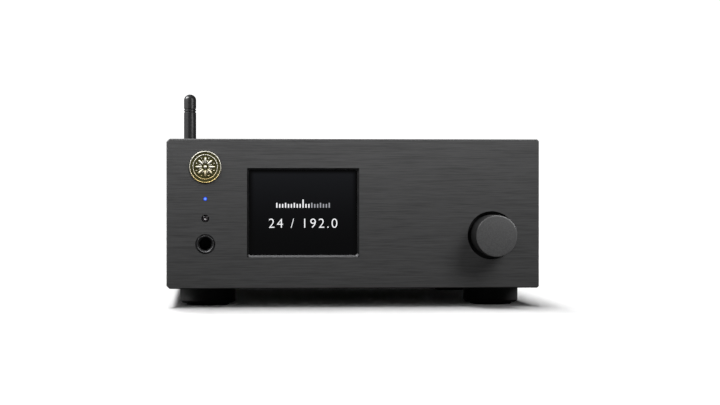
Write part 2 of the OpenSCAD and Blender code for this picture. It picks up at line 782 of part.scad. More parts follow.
module phono_inserts() {
  color("snow") for (x = [output_x[0], output_x[1], phono_in_x]) difference() {
    bar_y(x, rear_in_y - 4, row_low_z, phono_bore - 0.02, 13.2);
    bar_y(x, rear_in_y - 2, row_low_z, 3.3, 13);
  }
}

// ---- Optical output ----

optical_w = 11;
optical_l = 12;                                     // body behind the rear panel
optical_z = main_top + 5.1;                         // the mouth's centre
optical_y = rear_y + 0.6;                           // the socket's outer face
optical_mouth = 8.4;
optical_depth = 11;
shutter_t = 0.9;
shutter_pin_d = 1.2;
shutter_len = optical_mouth + 0.4;
shutter_y = optical_y - 1.2;                        // the shutter's hinge axis
shutter_z = optical_z + optical_mouth / 2 + 0.55;
chamber_z = shutter_z + 0.75;                       // the top of the chamber that the open shutter lies in
optical_low = optical_z - optical_mouth / 2 - 0.8;
optical_high = chamber_z + 0.8;

module optical_socket() {
  half = optical_mouth / 2;
  color("black") difference() {
    union() {
      block([optical_x - 6.7, rear_in_y - optical_l, main_top], [optical_x + 6.7, rear_in_y, optical_high]);
      block([optical_x - optical_w / 2, rear_in_y - 1, optical_low],
            [optical_x + optical_w / 2, optical_y, optical_high]);
    }
    block([optical_x - half, optical_y - optical_depth, optical_z - half],
          [optical_x + half, optical_y + 1, optical_z + half]);
    block([optical_x - half, optical_y - optical_depth, optical_z],
          [optical_x + half, shutter_y + 0.65, chamber_z]);
    bar_x(optical_x, shutter_y, shutter_z, shutter_pin_d + 2 * running_fit, optical_mouth + 1.6);
  }
}

// Hangs shut behind the mouth; a plug swings it inwards and up
module optical_shutter() {
  half = optical_mouth / 2 - 0.15;
  color("dimgray") union() {
    block([optical_x - half, shutter_y - shutter_t / 2, shutter_z - shutter_len],
          [optical_x + half, shutter_y + shutter_t / 2, shutter_z]);
    bar_x(optical_x, shutter_y, shutter_z, shutter_pin_d, optical_mouth + 1.4);
  }
}

// ---- Data sockets on the input board ----

usb_w = 12;
usb_h = 10.8;
network_w = 16;
network_h = 13.5;
data_y = rear_y + 0.4;                              // the data sockets' outer face

module usb_socket() {
  z = input_top + usb_h / 2;
  color("silver") union() {
    difference() {
      block([usb_x - usb_w / 2, data_y - 16, input_top],
            [usb_x + usb_w / 2, data_y, input_top + usb_h]);
      slab(data_y - 9, 10) translate([usb_x, z]) polygon([
        [-4.25, -3.9], [4.25, -3.9], [4.25, 2.3], [2.7, 3.9], [-2.7, 3.9], [-4.25, 2.3]
      ]);
    }
    block([usb_x - 2.8, data_y - 9.5, z - 1.6], [usb_x + 2.8, data_y - 1, z + 1.6]);
  }
}

module network_socket() {
  z = input_top + 2;
  color("silver") difference() {
    block([network_x - network_w / 2, data_y - 21, input_top],
          [network_x + network_w / 2, data_y, input_top + network_h]);
    slab(data_y - 14, 15) translate([network_x, z]) {
      translate([-5.9, 0]) square([11.8, 7]);
      translate([-3.1, 0]) square([6.2, 8.6]);
      translate([-1.6, 0]) square([3.2, 9.8]);
    }
  }
}

// ---- Mains inlet and switch ----

inlet_w = 28;
inlet_h = 20;
inlet_l = 20;                                       // body behind the rear panel
inlet_flange_t = 2;
inlet_depth = 17;
inlet_y = rear_y + inlet_flange_t;
blades = [[-7, -2], [7, -2], [0, 2]];

module inlet_outline(w, h, cut) {
  polygon([
    [-w / 2, -h / 2], [w / 2, -h / 2], [w / 2, h / 2 - cut],
    [w / 2 - cut, h / 2], [-w / 2 + cut, h / 2], [-w / 2, h / 2 - cut]
  ]);
}

module mains_inlet() {
  color("black") difference() {
    union() {
      slab(rear_y, inlet_flange_t) translate([inlet_x, inlet_z]) round_rect(50, 23, 4);
      slab(rear_y - rear_t - inlet_l, rear_t + inlet_l + 1)
        translate([inlet_x, inlet_z]) square([inlet_w, inlet_h], center = true);
    }
    slab(inlet_y - inlet_depth, inlet_depth + 1)
      translate([inlet_x, inlet_z]) inlet_outline(24.6, 16.6, 5);
    for (s = [-1, 1]) bar_y(inlet_x + s * inlet_screw_x, rear_y - 1, inlet_z, 3.3, 4);
    for (b = blades) slab(inlet_y - inlet_depth - 3, 4)
      translate([inlet_x + b[0], inlet_z + b[1]]) square([2, 4], center = true);
  }
}

module mains_blades() {
  color("silver") for (b = blades) slab(inlet_y - inlet_depth - 3, inlet_depth + 0.5)
    translate([inlet_x + b[0], inlet_z + b[1]]) square([2, 4], center = true);
}

switch_w = 13.2;
switch_h = 19.8;
switch_bezel_t = 1.8;
rocker_w = 10.4;
rocker_half = 8.2;
pivot_y = rear_y - 1.6;
pivot_d = 2;
rocker_throw = 9;                                   // half of the rocker's swing, in degrees

module switch_frame() {
  color("black") difference() {
    union() {
      slab(rear_y, switch_bezel_t) translate([inlet_x, switch_z]) round_rect(15.6, 22.4, 1);
      slab(rear_in_y - 14, 14 + rear_t + 0.5)
        translate([inlet_x, switch_z]) square([switch_w, switch_h], center = true);
    }
    slab(pivot_y - 6, 14) translate([inlet_x, switch_z]) square([rocker_w + 0.4, 18.2], center = true);
    bar_x(inlet_x, pivot_y, switch_z, pivot_d + 2 * running_fit, rocker_w + 2);
  }
}

// Drawn switched on, its upper half pressed in
module switch_rocker() {
  apex = 2.9;
  rise = rocker_half * tan(rocker_throw);
  color("black") translate([inlet_x, pivot_y, switch_z]) rotate([rocker_throw, 0, 0]) union() {
    translate([-rocker_w / 2, 0, 0]) rotate([90, 0, 90]) linear_extrude(rocker_w) polygon([
      [apex, 0], [apex + rise, rocker_half], [apex + rise - 1, rocker_half + 0.1], [-2.4, 6.2],
      [-3, 0], [-2.4, -6.2], [apex + rise - 1, -rocker_half - 0.1], [apex + rise, -rocker_half]
    ]);
    bar_x(0, 0, 0, pivot_d, rocker_w + 1.8);
  }
}

// A quarter of a round wire's bend in the Y-Z plane, from angle a onwards
module wire_bend(x, y, z, bend, d, a) {
  translate([x, y, z]) rotate([90, 0, 90]) rotate([0, 0, a])
    rotate_extrude(angle = 90, $fn = 32) translate([bend, 0]) circle(d = d, $fn = 16);
}

// Two wires from the switch down to the inlet, and two from the inlet to the supply board
module mains_wires() {
  d = 2.4;
  bend = 5;
  y_switch = rear_in_y - 14;
  y_inlet = rear_in_y - inlet_l;
  y_bend = y_inlet - 2;
  z_low = inlet_z + 6;
  color("saddlebrown") for (s = [-1, 1]) {
    x = inlet_x + s * 3.5;
    bar_y(x, y_bend, switch_z, d, y_switch - y_bend);
    wire_bend(x, y_bend, switch_z - bend, bend, d, 90);
    translate([x, y_bend - bend, z_low + bend]) cylinder(d = d, h = switch_z - z_low - 2 * bend);
    wire_bend(x, y_bend, z_low + bend, bend, d, 180);
    bar_y(x, y_bend, z_low, d, y_inlet - y_bend);
    bar_y(inlet_x + s * 7, supply_back - 2, inlet_z - 2, d, y_inlet - supply_back + 2);
  }
}

module socket_screws() {
  color("silver") {
    for (x = output_x, s = [-1, 1])
      facing_back(x + s * balanced_screw[0], balanced_y, row_high_z - s * balanced_screw[1])
        screw(3, 7, 5.2, 1.6, 2);
    for (s = [-1, 1])
      facing_back(inlet_x + s * inlet_screw_x, inlet_y, inlet_z) screw(3, 7, 5.2, 1.6, 2);
  }
}

// ---- Antenna ----

elbow_d = 9;
neck_d = 4.6;
coupling_y = rear_y + 2.6;                          // the coupling's front edge
coupling_end = rear_y + 11.4;
ear_gap = 3.6;
ear_out = 4.2;
ear_r = rod_d / 2;
rod_pin_d = 2;

module antenna_socket() {
  y0 = rear_in_y - sheet_t - 2;
  color("gold") difference() {
    union() {
      hex_y(antenna_x, y0, antenna_z, 8, 2);
      bar_y(antenna_x, y0, antenna_z, antenna_bore, rear_y + 9 - y0);
      hex_y(antenna_x, rear_y, antenna_z, 8, 2.2);
    }
    bar_y(antenna_x, rear_y + 3, antenna_z, 4.6, 10);
  }
}

module antenna_nut() {
  color("goldenrod") difference() {
    hex_y(antenna_x, coupling_y, antenna_z, 8.6, coupling_end - coupling_y);
    bar_y(antenna_x, coupling_y - 1, antenna_z, antenna_bore + 2 * running_fit,
          coupling_end - coupling_y - 0.5);
    bar_y(antenna_x, coupling_y, antenna_z, neck_d + 2 * running_fit, 20);
  }
}

module antenna_elbow() {
  color("dimgray") difference() {
    union() {
      bar_y(antenna_x, rear_y + 9.1, antenna_z, antenna_bore - 0.2, 0.7);
      bar_y(antenna_x, rear_y + 9.1, antenna_z, neck_d, 3);
      bar_y(antenna_x, coupling_end + 0.1, antenna_z, elbow_d, 4);
      for (s = [-1, 1]) translate([antenna_x + s * (ear_gap + (ear_out - ear_gap / 2)) / 2, 0, 0])
        antenna_ear(ear_out - ear_gap / 2);
    }
    bar_x(antenna_x, elbow_y, antenna_z, rod_pin_d + 2 * running_fit, 20);
  }
}

// One side of the elbow's fork, centred on x = 0
module antenna_ear(t) {
  translate([-t / 2, 0, antenna_z]) rotate([90, 0, 90]) linear_extrude(t) union() {
    translate([coupling_end + 2, -ear_r]) square([elbow_y - coupling_end - 2, 2 * ear_r]);
    translate([elbow_y, 0]) circle(r = ear_r);
  }
}

module antenna_pin() {
  color("silver") bar_x(antenna_x, elbow_y, antenna_z, rod_pin_d, 2 * ear_out);
}

module antenna_rod() {
  r = rod_d / 2;
  dome = 2.6;
  foot = ear_r + 1.2;
  tongue_r = ear_r - 0.4;
  groove = 0.3;
  ring = [rod_l - 12.2, rod_l - 11.7, rod_l - 10.8, rod_l - 10.3];
  tip = [for (i = [0:8]) [r * cos(i * 90 / 8), rod_l - dome + dome * sin(i * 90 / 8)]];
  color("dimgray") translate([antenna_x, elbow_y, antenna_z]) union() {
    rotate_extrude() polygon(concat(
      [[0, foot], [r - 0.4, foot], [r, foot + 0.4]],
      [[r, ring[0]], [r - groove, ring[0]], [r - groove, ring[1]], [r, ring[1]]],
      [[r, ring[2]], [r - groove, ring[2]], [r - groove, ring[3]], [r, ring[3]]],
      tip));
    difference() {
      rotate([90, 0, 90]) translate([0, 0, -ear_gap / 2 + 0.1]) linear_extrude(ear_gap - 0.2) union() {
        circle(r = tongue_r);
        translate([-tongue_r, 0]) square([2 * tongue_r, foot + 0.5]);
      }
      bar_x(0, 0, 0, rod_pin_d + 2 * running_fit, 20);
    }
  }
}

// ---- Feet ----

module foot(f) {
  r = foot_d / 2;
  pad_r = r - 3.5;
  color("dimgray") translate([f[0], f[1], 0]) difference() {
    rotate_extrude() polygon([
      [0, pad_out], [r - 1.2, pad_out], [r, pad_out + 1.2], [r, case_z - 0.6], [r - 0.6, case_z], [0, case_z]
    ]);
    translate([0, 0, -1]) cylinder(r = pad_r + seat_gap, h = pad_t + 1);
    translate([0, 0, case_z - 6.5]) cylinder(d = 4 + 2 * running_fit, h = 8);
  }
}

module foot_front_left() { foot(foot_spots[0]); }
module foot_front_right() { foot(foot_spots[1]); }
module foot_rear_left() { foot(foot_spots[2]); }
module foot_rear_right() { foot(foot_spots[3]); }

module foot_pads() {
  r = foot_d / 2 - 3.5;
  color("black") for (f = foot_spots) translate([f[0], f[1], 0]) rotate_extrude()
    polygon([[0, 0], [r - 0.5, 0], [r, 0.5], [r, pad_t], [0, pad_t]]);
}

module foot_screws() {
  color("silver") for (f = foot_spots) translate([f[0], f[1], floor_z]) screw(4, 7.5, 7, 2.2, 2.5);
}

// ---- Boards inside ----

main_spots = [
  for (x = [main_left + 5, main_right - 5], y = [main_front + 6, main_back - 34]) [x, y]
];
supply_spots = [
  for (x = [supply_left + 4, supply_right - 4], y = [supply_front + 4, supply_back - 4]) [x, y]
];
input_spots = [
  for (x = [input_left + 4, main_right - 6], y = [input_front + 4, input_back - 26]) [x, y]
];

module board(low, high, spots) {
  difference() {
    block(low, high);
    for (s = spots) translate([s[0], s[1], low[2] - 1]) cylinder(d = 3.2, h = board_t + 2, $fn = 24);
  }
}

module main_board() {
  color("darkgreen") board([main_left, main_front, main_z], [main_right, main_back, main_top],
    concat(main_spots, input_spots));
}

module input_board() {
  color("darkgreen")
    board([input_left, input_front, input_z], [input_right, input_back, input_top], input_spots);
}

// Hexagonal standoffs and the screws on top of them
module board_standoffs() {
  color("silver") {
    for (s = concat(main_spots, supply_spots)) translate([s[0], s[1], floor_z]) {
      cylinder(d = 6, h = standoff_h, $fn = 6);
      translate([0, 0, standoff_h - eps]) cylinder(d = 3, h = board_t + 2 * eps, $fn = 24);
      translate([0, 0, standoff_h + board_t]) screw(2.9, 1, 5.5, 2, 2);
    }
    for (s = input_spots) translate([s[0], s[1], main_top]) {
      translate([0, 0, -board_t - standoff_h]) cylinder(d = 6, h = standoff_h, $fn = 6);
      translate([0, 0, -board_t - eps]) cylinder(d = 3, h = board_t + 2 * eps, $fn = 24);
      cylinder(d = 6, h = tower_h, $fn = 6);
      translate([0, 0, tower_h - eps]) cylinder(d = 3, h = board_t + 2 * eps, $fn = 24);
      translate([0, 0, tower_h + board_t]) screw(2.9, 1, 5.5, 2, 2);
    }
  }
}

module main_board_parts() {
  t = main_top;
  color("black") {
    block([-14, main_front + 1, t], [14, main_front + 6, t + 6]);
    for (i = [0:3], s = [0, 1])
      translate([main_left + 12 + i * 15, main_front + 30 + s * 14, t]) cylinder(d = 10, h = 16);
    for (x = [-70, -44]) block([x - 6, main_front + 64, t], [x + 6, main_front + 76, t + 1.6]);
    block([-8, main_front + 34, t], [8, main_front + 50, t + 2]);
    for (x = [-66, -48]) block([x - 5, main_front + 96, t], [x + 5, main_front + 106, t + 11]);
    for (x = [-84, -74]) block([x - 3, main_back - 60, t], [x + 3, main_back - 46, t + 8]);
  }
}

module transformer() {
  r = transformer_d / 2;
  hole = 9;
  edge = 6;
  color("orange") translate([transformer_x, transformer_y, floor_z]) union() {
    cylinder(r = r - 3, h = 1.5);
    translate([0, 0, 1.5 - eps]) rotate_extrude() polygon([
      [hole, edge / 2], [hole + edge / 2, 0], [r - edge, 0], [r - edge * 0.3, edge * 0.3], [r, edge],
      [r, transformer_h - edge], [r - edge * 0.3, transformer_h - edge * 0.3], [r - edge, transformer_h],
      [hole + edge / 2, transformer_h], [hole, transformer_h - edge / 2]
    ]);
    translate([0, 0, transformer_h + 1.5 - 2 * eps]) cylinder(r1 = 20, r2 = 17, h = 1.5);
    cylinder(d = 5, h = transformer_h + 9, $fn = 24);
    translate([0, 0, transformer_h + 3 - 3 * eps]) cylinder(d = 9.2, h = 4, $fn = 6);
  }
}

// Supply board with its plug, reservoir capacitors and finned cooler
module supply_board() {
  t = main_top;
  x0 = supply_left;
  y0 = supply_front;
  color("darkgreen") union() {
    board([supply_left, supply_front, main_z], [supply_right, supply_back, t], supply_spots);
    block([inlet_x - 11, supply_back - 12, t - eps], [inlet_x + 11, supply_back - 2, inlet_z + 2]);
    for (i = [0:1]) translate([x0 + 16 + i * 26, y0 + 22, t - eps]) cylinder(d = 22, h = 32);
    block([x0 + 10, y0 + 44, t - eps], [x0 + 50, y0 + 47, t + 30]);
    for (i = [0:8])
      block([x0 + 10 + i * 4.8, y0 + 47 - eps, t - eps], [x0 + 11.6 + i * 4.8, y0 + 55, t + 30]);
  }
}

// ---- What is drawn ----

front_panel();
chassis();
top_cover();
rear_panel();
cover_screws();
rear_screws();
panel_screws();
foot_front_left();
foot_front_right();
foot_rear_left();
foot_rear_right();
foot_pads();
foot_screws();
badge();
lamp_guide();
receiver_lens();
socket_collar();
headphone_socket();
display_glass();
display_module();
display_ribbon();
knob();
knob_grub_screw();
encoder_shaft();
push_plunger();
encoder_body();
encoder_nut();
control_board();
control_board_spacers();
control_board_parts();
control_ribbon();
balanced_out_left();
balanced_out_right();
balanced_pins();
phono_out_left();
phono_out_right();
phono_in();
phono_rings();
phono_inserts();
optical_socket();
optical_shutter();
usb_socket();
network_socket();
socket_screws();
antenna_socket();
antenna_nut();
antenna_elbow();
antenna_pin();
antenna_rod();
mains_inlet();
mains_blades();
switch_frame();
switch_rocker();
mains_wires();
main_board();
main_board_parts();
input_board();
board_standoffs();
transformer();
supply_board();
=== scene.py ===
"""The looks of a desktop audio converter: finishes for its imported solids, and finely modelled pieces
over the ones that show most. Metres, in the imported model's own frame: +X right, +Y back, +Z up."""

import json
import math

import bmesh
import bpy
from mathutils import Matrix, Vector


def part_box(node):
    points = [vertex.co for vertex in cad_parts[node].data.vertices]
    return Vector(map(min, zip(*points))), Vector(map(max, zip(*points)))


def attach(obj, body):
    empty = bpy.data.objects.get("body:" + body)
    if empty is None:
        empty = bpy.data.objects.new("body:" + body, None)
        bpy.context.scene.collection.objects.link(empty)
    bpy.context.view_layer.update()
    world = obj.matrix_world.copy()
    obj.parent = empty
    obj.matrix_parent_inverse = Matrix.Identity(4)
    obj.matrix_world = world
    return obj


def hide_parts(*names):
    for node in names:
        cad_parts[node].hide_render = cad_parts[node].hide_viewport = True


MM = 0.001                                  # a millimetre, in metres
PER_METRE = 1000                            # millimetres in a metre
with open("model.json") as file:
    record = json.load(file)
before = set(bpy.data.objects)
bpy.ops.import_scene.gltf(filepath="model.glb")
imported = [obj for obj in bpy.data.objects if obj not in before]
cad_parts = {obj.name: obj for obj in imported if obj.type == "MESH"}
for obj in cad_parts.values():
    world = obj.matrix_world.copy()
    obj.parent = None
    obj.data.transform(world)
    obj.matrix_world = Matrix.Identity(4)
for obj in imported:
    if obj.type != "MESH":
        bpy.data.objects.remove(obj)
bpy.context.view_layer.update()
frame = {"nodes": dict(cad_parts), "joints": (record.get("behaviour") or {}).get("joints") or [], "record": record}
cad = frame["nodes"]


# ---- Places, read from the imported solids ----

def middle(node):
    """The centre of a node's box."""
    low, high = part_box(node)
    return (low + high) / 2


def round_size(node):
    """The radius and the length along Y of a node turned about Y, in millimetres."""
    low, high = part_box(node)
    return (high.x - low.x) / 2 * PER_METRE, (high.y - low.y) * PER_METRE


panel_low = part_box("front_panel")[0]
PANEL_Y = panel_low.y                       # the panel's front face
GLASS_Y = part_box("display_glass")[0].y      # the cover glass's front face
REAR_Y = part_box("rear_panel")[1].y          # the rear panel's outer face
badge_at = middle("badge")
lamp_at = middle("lamp_guide")
receiver_at = middle("receiver_lens")
collar_at = middle("socket_collar")
knob_at = middle("knob")
rod_at = middle("antenna_rod")
window_at = middle("display_glass")
WINDOW_W = 60.0                             # the window where it meets the panel's face, in millimetres
WINDOW_H = 47.6                             # and its height


# ---- Camera ----

LENS = 103.0                                # focal length in millimetres
SENSOR = 36                                 # width of the picture's frame, in millimetres
CAMERA_DISTANCE = 1.100                     # in front of the panel
CAMERA_LEFT = 0.0792                        # left of the panel's middle
CAMERA_HEIGHT = 0.0505                      # above the panel's lower edge
CAMERA_YAW = 0.0748                         # radians to the right
CAMERA_PITCH = -0.0041                      # radians upwards


def make_camera():
    """The photograph's view: a little left of the panel's middle and level with its lower part."""
    data = bpy.data.cameras.new("camera")
    data.sensor_width = SENSOR
    data.lens = LENS
    data.clip_start = 0.05
    data.clip_end = 30
    camera = bpy.data.objects.new("camera", data)
    camera.location = (-CAMERA_LEFT, PANEL_Y - CAMERA_DISTANCE, panel_low.z + CAMERA_HEIGHT)
    camera.rotation_euler = (math.pi / 2 + CAMERA_PITCH, 0, -CAMERA_YAW)
    bpy.context.scene.collection.objects.link(camera)
    bpy.context.scene.camera = camera


make_camera()


# ---- Shader maths ----

class Wire:
    """A socket's value. Sums and products of wires and numbers add their Math nodes."""

    def __init__(self, tree, socket):
        self.tree = tree
        self.socket = socket

    def maths(self, operation, *values):
        node = self.tree.nodes.new("ShaderNodeMath")
        node.operation = operation
        for socket, value in zip(node.inputs, values):
            connect(self.tree, socket, value)
        return Wire(self.tree, node.outputs[0])

    def __add__(self, other):
        return self.maths("ADD", self, other)

    def __sub__(self, other):
        return self.maths("SUBTRACT", self, other)

    def __rsub__(self, other):
        return self.maths("SUBTRACT", other, self)

    def __mul__(self, other):
        return self.maths("MULTIPLY", self, other)

    def __truediv__(self, other):
        return self.maths("DIVIDE", self, other)

    def __pow__(self, other):
        return self.maths("POWER", self, other)

    def __abs__(self):
        return self.maths("ABSOLUTE", self)

    __radd__ = __add__
    __rmul__ = __mul__

    def largest(self, other):
        return self.maths("MAXIMUM", self, other)

    def smallest(self, other):
        return self.maths("MINIMUM", self, other)

    def clipped(self):
        return self.largest(0).smallest(1)

    def step(self, start, end):
        """0 below start and 1 above end, with a smooth rise between them."""
        node = self.tree.nodes.new("ShaderNodeMapRange")
        node.interpolation_type = "SMOOTHSTEP"
        for name, value in (("Value", self), ("From Min", start), ("From Max", end)):
            connect(self.tree, node.inputs[name], value)
        return Wire(self.tree, node.outputs[0])


def connect(tree, socket, value):
    """Links a wire to a socket, or sets a plain value on it."""
    if isinstance(value, Wire):
        tree.links.new(value.socket, socket)
    elif hasattr(socket.default_value, "__len__") and len(value) == 3 and len(socket.default_value) == 4:
        socket.default_value = (*value, 1)
    else:
        socket.default_value = value


class Finish:
    """A material under construction round one Principled shader."""

    def __init__(self, name, **constants):
        self.material = bpy.data.materials.new(name)
        self.material.use_nodes = True
        self.tree = self.material.node_tree
        self.shader = self.tree.nodes["Principled BSDF"]
        self.set(**constants)

    def set(self, **values):
        """Sets or links the shader's sockets; base_color stands for Base Color."""
        for name, value in values.items():
            words = name.replace("_", " ").title().replace("Ior", "IOR")
            connect(self.tree, self.shader.inputs[words], value)

    def node(self, kind, settings=None, output=0, **values):
        """Adds any node: its settings first, then its sockets' values or wires."""
        node = self.tree.nodes.new("ShaderNode" + kind)
        for name, value in (settings or {}).items():
            setattr(node, name, value)
        for name, value in values.items():
            connect(self.tree, node.inputs[name.replace("_", " ")], value)
        return Wire(self.tree, node.outputs[output])

    def place(self, scale=(1, 1, 1), at=(0, 0, 0)):
        """Object coordinates counted from a point, and scaled along each axis."""
        where = self.node("TexCoord", output="Object")
        moved = self.node("VectorMath", {"operation": "SUBTRACT"}, Vector=where)
        connect(self.tree, moved.socket.node.inputs[1], tuple(at))
        sized = self.node("VectorMath", {"operation": "MULTIPLY"}, Vector=moved)
        connect(self.tree, sized.socket.node.inputs[1], tuple(scale))
        return sized

    def axes(self, vector):
        """The three numbers of a vector."""
        split = self.tree.nodes.new("ShaderNodeSeparateXYZ")
        connect(self.tree, split.inputs[0], vector)
        return [Wire(self.tree, out) for out in split.outputs]

    def millimetres(self, at, depth=1):
        """Millimetres right of, behind and above a point; a depth of -1 counts forwards instead."""
        return self.axes(self.place((PER_METRE, depth * PER_METRE, PER_METRE), at))

    def noise(self, scale, detail=2.0, rough=0.5, at=(0, 0, 0)):
        """Noise whose grain is 1 / scale metres along each axis, or along all three for a single number."""
        if isinstance(scale, (int, float)):
            scale = (scale, scale, scale)
        return self.node("TexNoise", Vector=self.place(scale, at), Scale=1.0, Detail=detail, Roughness=rough)

    def blend(self, share, first, second):
        """A colour between two colours or wires."""
        mix = self.tree.nodes.new("ShaderNodeMix")
        mix.data_type = "RGBA"
        connect(self.tree, mix.inputs["Factor"], share)
        colours = [s for s in mix.inputs if s.type == "RGBA"]
        connect(self.tree, colours[0], first)
        connect(self.tree, colours[1], second)
        out = next(s for s in mix.outputs if s.type == "RGBA")
        return Wire(self.tree, out)

    def bump(self, height, depth):
        """Raises the surface by height times depth, in metres."""
        node = self.tree.nodes.new("ShaderNodeBump")
        node.inputs["Distance"].default_value = depth
        connect(self.tree, node.inputs["Height"], height)
        self.set(normal=Wire(self.tree, node.outputs[0]))
        return self


def shaded(colour, times):
    """A colour made darker or lighter, and never brighter than white."""
    return tuple(min(1.0, c * times) for c in colour)


def from_axis(across, up):
    """Distance from a line along Y, from the two distances across it."""
    return (across * across + up * up) ** 0.5


# ---- Finishes ----

KNOB_SEAT_R = 13.4                          # radii of the seats round the knob and the collar, coloured nearly black in the panel as painted shade, in millimetres
COLLAR_SEAT_R = 5.5


def brushed_panel():
    """Black anodised aluminium, brushed sideways: short dark hairlines of uneven length over faint long ones.
    The bevel round the window is cut after brushing, so it is smooth; painted shade darkens it in its corners."""
    f = Finish("anodised_brushed", ior=1.45)
    fine = f.noise((110, 500, 4200), detail=2.0, rough=0.6)
    hair = f.noise((50, 500, 2600), detail=2.0, rough=0.5, at=(0.31, 0, 0.07))
    long = f.noise((10, 60, 900), detail=1.0, at=(0.9, 0, 0.4))
    drift = f.noise((9, 9, 13), detail=1.0, at=(0.2, 0, 0.9))
    lines = fine * 0.45 + hair * 0.40 + long * 0.15
    marks = lines.step(0.32, 0.62)
    x, _, z = f.millimetres(window_at)
    past_side = abs(x) - WINDOW_W / 2
    past_top = abs(z) - WINDOW_H / 2
    cut = 1 - past_side.largest(past_top).step(0.0, 0.03)
    # painted shade: the bevel is darker in the window's corners
    corner = past_side.step(-1.6, -0.6) * past_top.step(-1.6, -0.6)
    brushed = f.blend(marks * 0.85 + drift * 0.15, (0.047, 0.047, 0.0475), (0.080, 0.080, 0.081))
    # painted shade: the seats round the knob and the collar are coloured nearly black
    for seat_at, radius in ((knob_at, KNOB_SEAT_R), (collar_at, COLLAR_SEAT_R)):
        across, inwards, up = f.millimetres((seat_at.x, PANEL_Y, seat_at.z))
        away = from_axis(across, up)
        seat = inwards.step(0.15, 0.35) * (1 - away.step(radius - 0.1, radius + 0.1))
        brushed = f.blend(seat, brushed, (0.004, 0.004, 0.004))
    bevel = f.blend(corner, (0.074, 0.074, 0.076), (0.030, 0.030, 0.031))
    f.set(base_color=f.blend(cut, brushed, bevel), metallic=0.5 + cut * 0.5)
    f.set(roughness=(0.40 + hair * 0.12) * (1 - cut) + 0.36 * cut)
    return f.bump(lines * (1 - cut), 0.00002).material


def turned_knob():
    """The knob's blasted metal, brighter round the edge of its face as a painted highlight, and smoother there."""
    radius, _ = round_size("knob")
    face_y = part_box("knob")[0].y
    f = Finish("knob_blasted", metallic=0.5)
    grain = f.noise(2300, detail=2.0, rough=0.7)
    cloud = f.noise(160, detail=2.0)
    salt = grain.step(0.36, 0.64)
    x, depth, z = f.millimetres((knob_at.x, face_y, knob_at.z))
    # painted highlight: a brighter, smoother band round the edge of the face
    edge = from_axis(x, z).step(radius - 0.75, radius - 0.35) * (1 - depth.step(0.35, 0.75))
    blasted = f.blend(salt * 0.8 + cloud * 0.2, (0.044, 0.044, 0.045), (0.077, 0.077, 0.078))
    f.set(base_color=f.blend(edge, blasted, (0.11, 0.11, 0.112)), roughness=0.45 + salt * 0.1 - edge * 0.15)
    return f.bump(grain * (1 - edge), 0.00003).material


def powder_coat(name, colour, roughness=0.55):
    """Fine-textured powder coat on sheet metal, with a few larger lumps."""
    f = Finish(name, specular_ior_level=0.4)
    grain = f.noise(1900, detail=3.0, rough=0.65)
    lump = f.noise(420, detail=2.0)
    haze = f.noise(14, detail=2.0)
    f.set(base_color=f.blend(grain * 0.5 + haze * 0.5, shaded(colour, 0.8), shaded(colour, 1.25)))
    f.set(roughness=roughness - 0.08 + haze * 0.16)
    return f.bump(grain * 0.7 + lump * 0.3, 0.00006).material


def moulded(name, colour, roughness=0.42, grain=0.0004, depth=0.000015):
    """Moulded plastic with a faint spark-eroded grain, whose size and depth are in metres."""
    f = Finish(name, roughness=roughness, specular_ior_level=0.45)
    rough = f.noise(1 / grain, detail=3.0, rough=0.6)
    patch = f.noise(35, detail=2.0)
    f.bump(rough, depth)
    f.set(base_color=f.blend(rough * 0.6 + patch * 0.4, shaded(colour, 0.88), shaded(colour, 1.12)))
    return f.material


def soft_rubber(name, colour):
    """Matt rubber with a dusty unevenness."""
    f = Finish(name, specular_ior_level=0.3)
    dust = f.noise(90, detail=4.0)
    f.set(base_color=f.blend(dust, colour, shaded(colour, 2.2)), roughness=0.72 + dust * 0.16)
    return f.bump(f.noise(1500), 0.00003).material


def plated(name, colour, roughness=0.22):
    """Bright plating: nickel, gold or zinc, with hairlines and slight stains."""
    f = Finish(name, metallic=1.0)
    hair = f.noise((300, 300, 2600), detail=2.0)
    stain = f.noise(60, detail=3.0, rough=0.6)
    f.set(base_color=f.blend(stain, shaded(colour, 0.78), colour))
    f.set(roughness=roughness + stain * 0.14)
    return f.bump(hair, 0.000006).material


def zinc_sheet():
    """Zinc-plated steel sheet with a faint spangle."""
    f = Finish("zinc_sheet", metallic=1.0)
    spangle = f.node("TexVoronoi", {"feature": "F1"}, output="Color",
                     Vector=f.place((260, 260, 260)), Scale=1.0)
    tone = f.node("SeparateXYZ", Vector=spangle)
    f.set(base_color=f.blend(tone, (0.42, 0.43, 0.45), (0.60, 0.61, 0.62)), roughness=0.34 + tone * 0.14)
    return f.material


def badge_gold():
    """Gold badge, olive in its sunk parts; its raised lines run from deeper gold at the bottom to nearly silver at
    the top, a painted highlight.
    """
    f = Finish("badge_gold", metallic=1.0)
    _, proud, z = f.millimetres((badge_at.x, PANEL_Y, badge_at.z), depth=-1)
    raised = proud.step(0.62, 0.80)
    # painted highlight: the raised lines grow paler and more silver towards the top
    high = z.step(-7.5, 1.0)
    stain = f.noise(260, detail=2.0)
    sunk = f.blend(stain, (0.098, 0.090, 0.032), (0.19, 0.178, 0.072))
    raised_sheen = f.blend(high, (0.62, 0.48, 0.20), (0.72, 0.70, 0.61))
    f.set(base_color=f.blend(raised, sunk, raised_sheen))
    f.set(roughness=0.34 + raised * 0.12 + stain * 0.06)
    return f.bump(stain * (1 - raised), 0.00001).material


